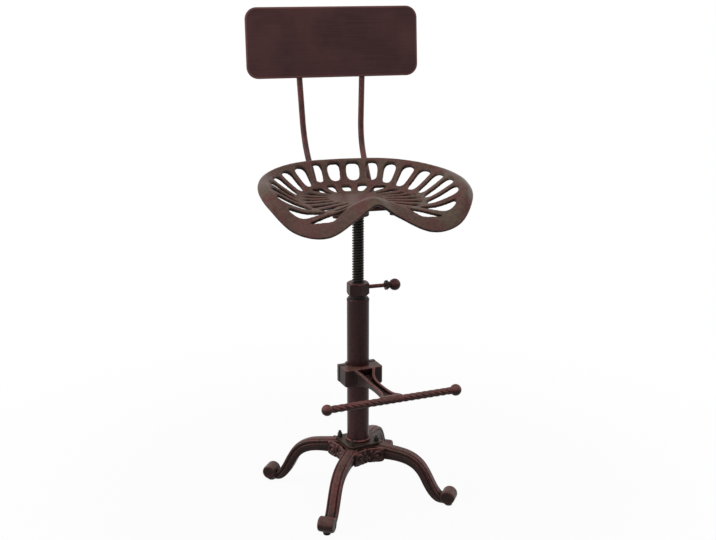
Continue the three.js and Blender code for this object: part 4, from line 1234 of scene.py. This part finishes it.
# %% Backrest plate
back_width, back_height, back_corner, back_stand, back_shift = 342, 135, 23, 8.55, 3.7
foot = rod_point(high_bend_back + lean_run * (back_foot - high_bend_rise), back_foot, 0)
back = bevelled(slab("back", rounded_rectangle(back_width, back_height, back_corner, 16), -2.5, 2.5), 2, 4)
bpy.ops.object.mode_set(mode="EDIT")
bpy.ops.mesh.select_all(action="DESELECT")
bpy.ops.mesh.select_mode(type="FACE")
bpy.ops.object.mode_set(mode="OBJECT")
for face in back.data.polygons:
    face.select = abs(face.normal.z) > 0.999
bpy.ops.object.mode_set(mode="EDIT")
bpy.ops.mesh.inset(thickness=1.5)
bpy.ops.mesh.inset(thickness=4)
bpy.ops.object.mode_set(mode="OBJECT")

# %% The border's painted highlight, and the plate's place
back.data.materials.append(sheet_paint)
back.data.materials.append(border_highlight_paint)
straight_x, straight_y = back_width / 2 - back_corner, back_height / 2 - back_corner
band_inner, band_outer = 19.4, 21.5  # measured from the middle of a corner's curve
for face in back.data.polygons:
    across, along = abs(face.center.x) - straight_x, abs(face.center.y) - straight_y
    from_middle = math.hypot(max(across, 0), max(along, 0))
    in_band = band_inner < from_middle < band_outer and abs(face.normal.z) > 0.5
    face.material_index = 1 if in_band else 0
moved(back, (back_shift, -back_stand, back_height / 2), (90, 0, 0))
moved(moved(back, (0, 0, 0), (-lean, 0, 0)), (0, foot.y, foot.z))
finish_piece(back, "backrest_sheet", "seat", ["backrest_plate"], (None, "cast_paint"), 0, 40)

# %% Rivets
one_rivet = turned("rivet", [
    (0, -10.9), (3, -10.9), (3, 6), (5.5, 6), (5.2, 7.2), (3.6, 8.2), (0, 8.55),
], 32)
for side, name in ((-1, "left"), (1, "right")):
    for level, where in ((14, "lower"), (74, "upper")):
        x = rod_point(0, back_foot + level * math.cos(math.radians(lean)), side).x
        rivet = moved(copied(one_rivet), (x, 0, level), (-90, 0, 0))
        moved(moved(rivet, (0, 0, 0), (-lean, 0, 0)), (0, foot.y, foot.z))
        finish_piece(rivet, f"rivet_{where}_{name}", "seat", [f"back_rivet_{where}_{name}"], casting, 0, 40)
bpy.data.objects.remove(one_rivet)

# %% [markdown]
# ## Inside the tube
# The screw's lower end is guided by a washer and held by a nut. They can't be seen from outside, but
# they travel with the seat, so they get their own finish too.

# %% Guide washer and end nut
guide = turned("guide", [(7.3, 267), (17.7, 267), (17.7, 272.7), (7.3, 272.7), (7.3, 267)], 64)
finish_piece(guide, "guide_ring", "lift_guide", ["guide_washer"], black_steel)
end_nut = hex_nut(12.5, 258.7, 266.7, 7.3)
finish_piece(end_nut, "end_nut", "seat", ["screw_end_nut"], black_steel, 0, 30)

# %% [markdown]
# ## Floor and light
# The photograph has a plain white ground. A floor that is lit to white would need so much light that
# the stool would bleach, so the camera, and every reflection, sees it mostly as plain white, with a
# little of the lit floor left in, which keeps the stool's shadow. Further out it fades to the
# white of the room. The world does the same: it lights the stool softly and is seen as white. A
# large overhead lamp and one at either side light the stool with a darker front, as in the
# photograph.

# %% What the camera and reflections see
def seen_directly(tree):
    rays = add_node(tree, "ShaderNodeLightPath")
    mirror = add_node(
        tree, "ShaderNodeMath", {0: rays.outputs["Is Camera Ray"], 1: rays.outputs["Is Glossy Ray"]},
        operation="MAXIMUM",
    )
    either = add_node(
        tree, "ShaderNodeMath", {0: mirror.outputs[0], 1: rays.outputs["Is Transmission Ray"]},
        operation="MAXIMUM",
    )
    return either.outputs[0]


# %% Floor
# Matt pale paper: the shadow on it is soft, and nothing is mirrored in it
deselect_all()
bpy.ops.mesh.primitive_plane_add(location=(0, 0, 0), rotation=(0, 0, 0), size=16)
floor = bpy.context.object
floor.name = "floor"
floor_material, tree = new_material("pale_floor")
place = add_node(tree, "ShaderNodeTexCoord").outputs["Object"]
distance = add_node(tree, "ShaderNodeVectorMath", {0: place}, operation="LENGTH")
fade = add_node(
    tree, "ShaderNodeMapRange",
    {"Value": distance.outputs["Value"], "From Min": 0.4, "From Max": 1.0, "To Min": 0.95, "To Max": 1},
)
white_share = add_node(
    tree, "ShaderNodeMath", {0: fade.outputs["Result"], 1: seen_directly(tree)}, operation="MULTIPLY"
)
matt = add_node(tree, "ShaderNodeBsdfPrincipled", {"Base Color": linear("#b4b4b4"), "Roughness": 0.9})
white = add_node(tree, "ShaderNodeEmission", {"Color": (1, 1, 1, 1), "Strength": 1})
blend = add_node(tree, "ShaderNodeMixShader", {"Fac": white_share.outputs[0]})
tree.links.new(matt.outputs["BSDF"], blend.inputs[1])
tree.links.new(white.outputs["Emission"], blend.inputs[2])
add_node(tree, "ShaderNodeOutputMaterial", {"Surface": blend.outputs["Shader"]})
floor.data.materials.append(floor_material)
print("floor:", floor_material.name)

# %% World
# A white room, dim as a light and plain white as a background
world = bpy.data.worlds.new("white_room")
bpy.context.scene.world = world
world.use_nodes = True
tree = world.node_tree
tree.nodes.clear()
sky = add_node(tree, "ShaderNodeBackground", {"Color": (1, 1, 1, 1), "Strength": 0.4})
plain = add_node(tree, "ShaderNodeBackground", {"Color": (1, 1, 1, 1), "Strength": 1})
blend = add_node(tree, "ShaderNodeMixShader", {"Fac": seen_directly(tree)})
tree.links.new(sky.outputs["Background"], blend.inputs[1])
tree.links.new(plain.outputs["Background"], blend.inputs[2])
add_node(tree, "ShaderNodeOutputWorld", {"Surface": blend.outputs["Shader"]})
print("world:", world.name)


# %% Lamps
def lamp(name, place, target, size, watts):
    data = bpy.data.lights.new(name, "AREA")
    data.shape = "RECTANGLE"
    data.size, data.size_y = size
    data.energy = watts
    obj = bpy.data.objects.new(name, data)
    bpy.context.scene.collection.objects.link(obj)
    obj.location = place
    obj.rotation_euler = (Vector(target) - Vector(place)).to_track_quat("-Z", "Y").to_euler()


lamp("overhead", (0, -0.5, 3), (0, 0, 0.4), (2.4, 2.2), 33)
lamp("left", (-2.5, 0.1, 1.6), (0, 0, 0.4), (1.4, 2), 44)
lamp("right", (2.4, 0.5, 1.6), (0, 0, 0.6), (1.2, 1.8), 16)
print("lamps:", len(bpy.data.lights))

# %% [markdown]
# ## The end
# Colours are shown as they are written.

bpy.context.scene.view_settings.view_transform = "Standard"
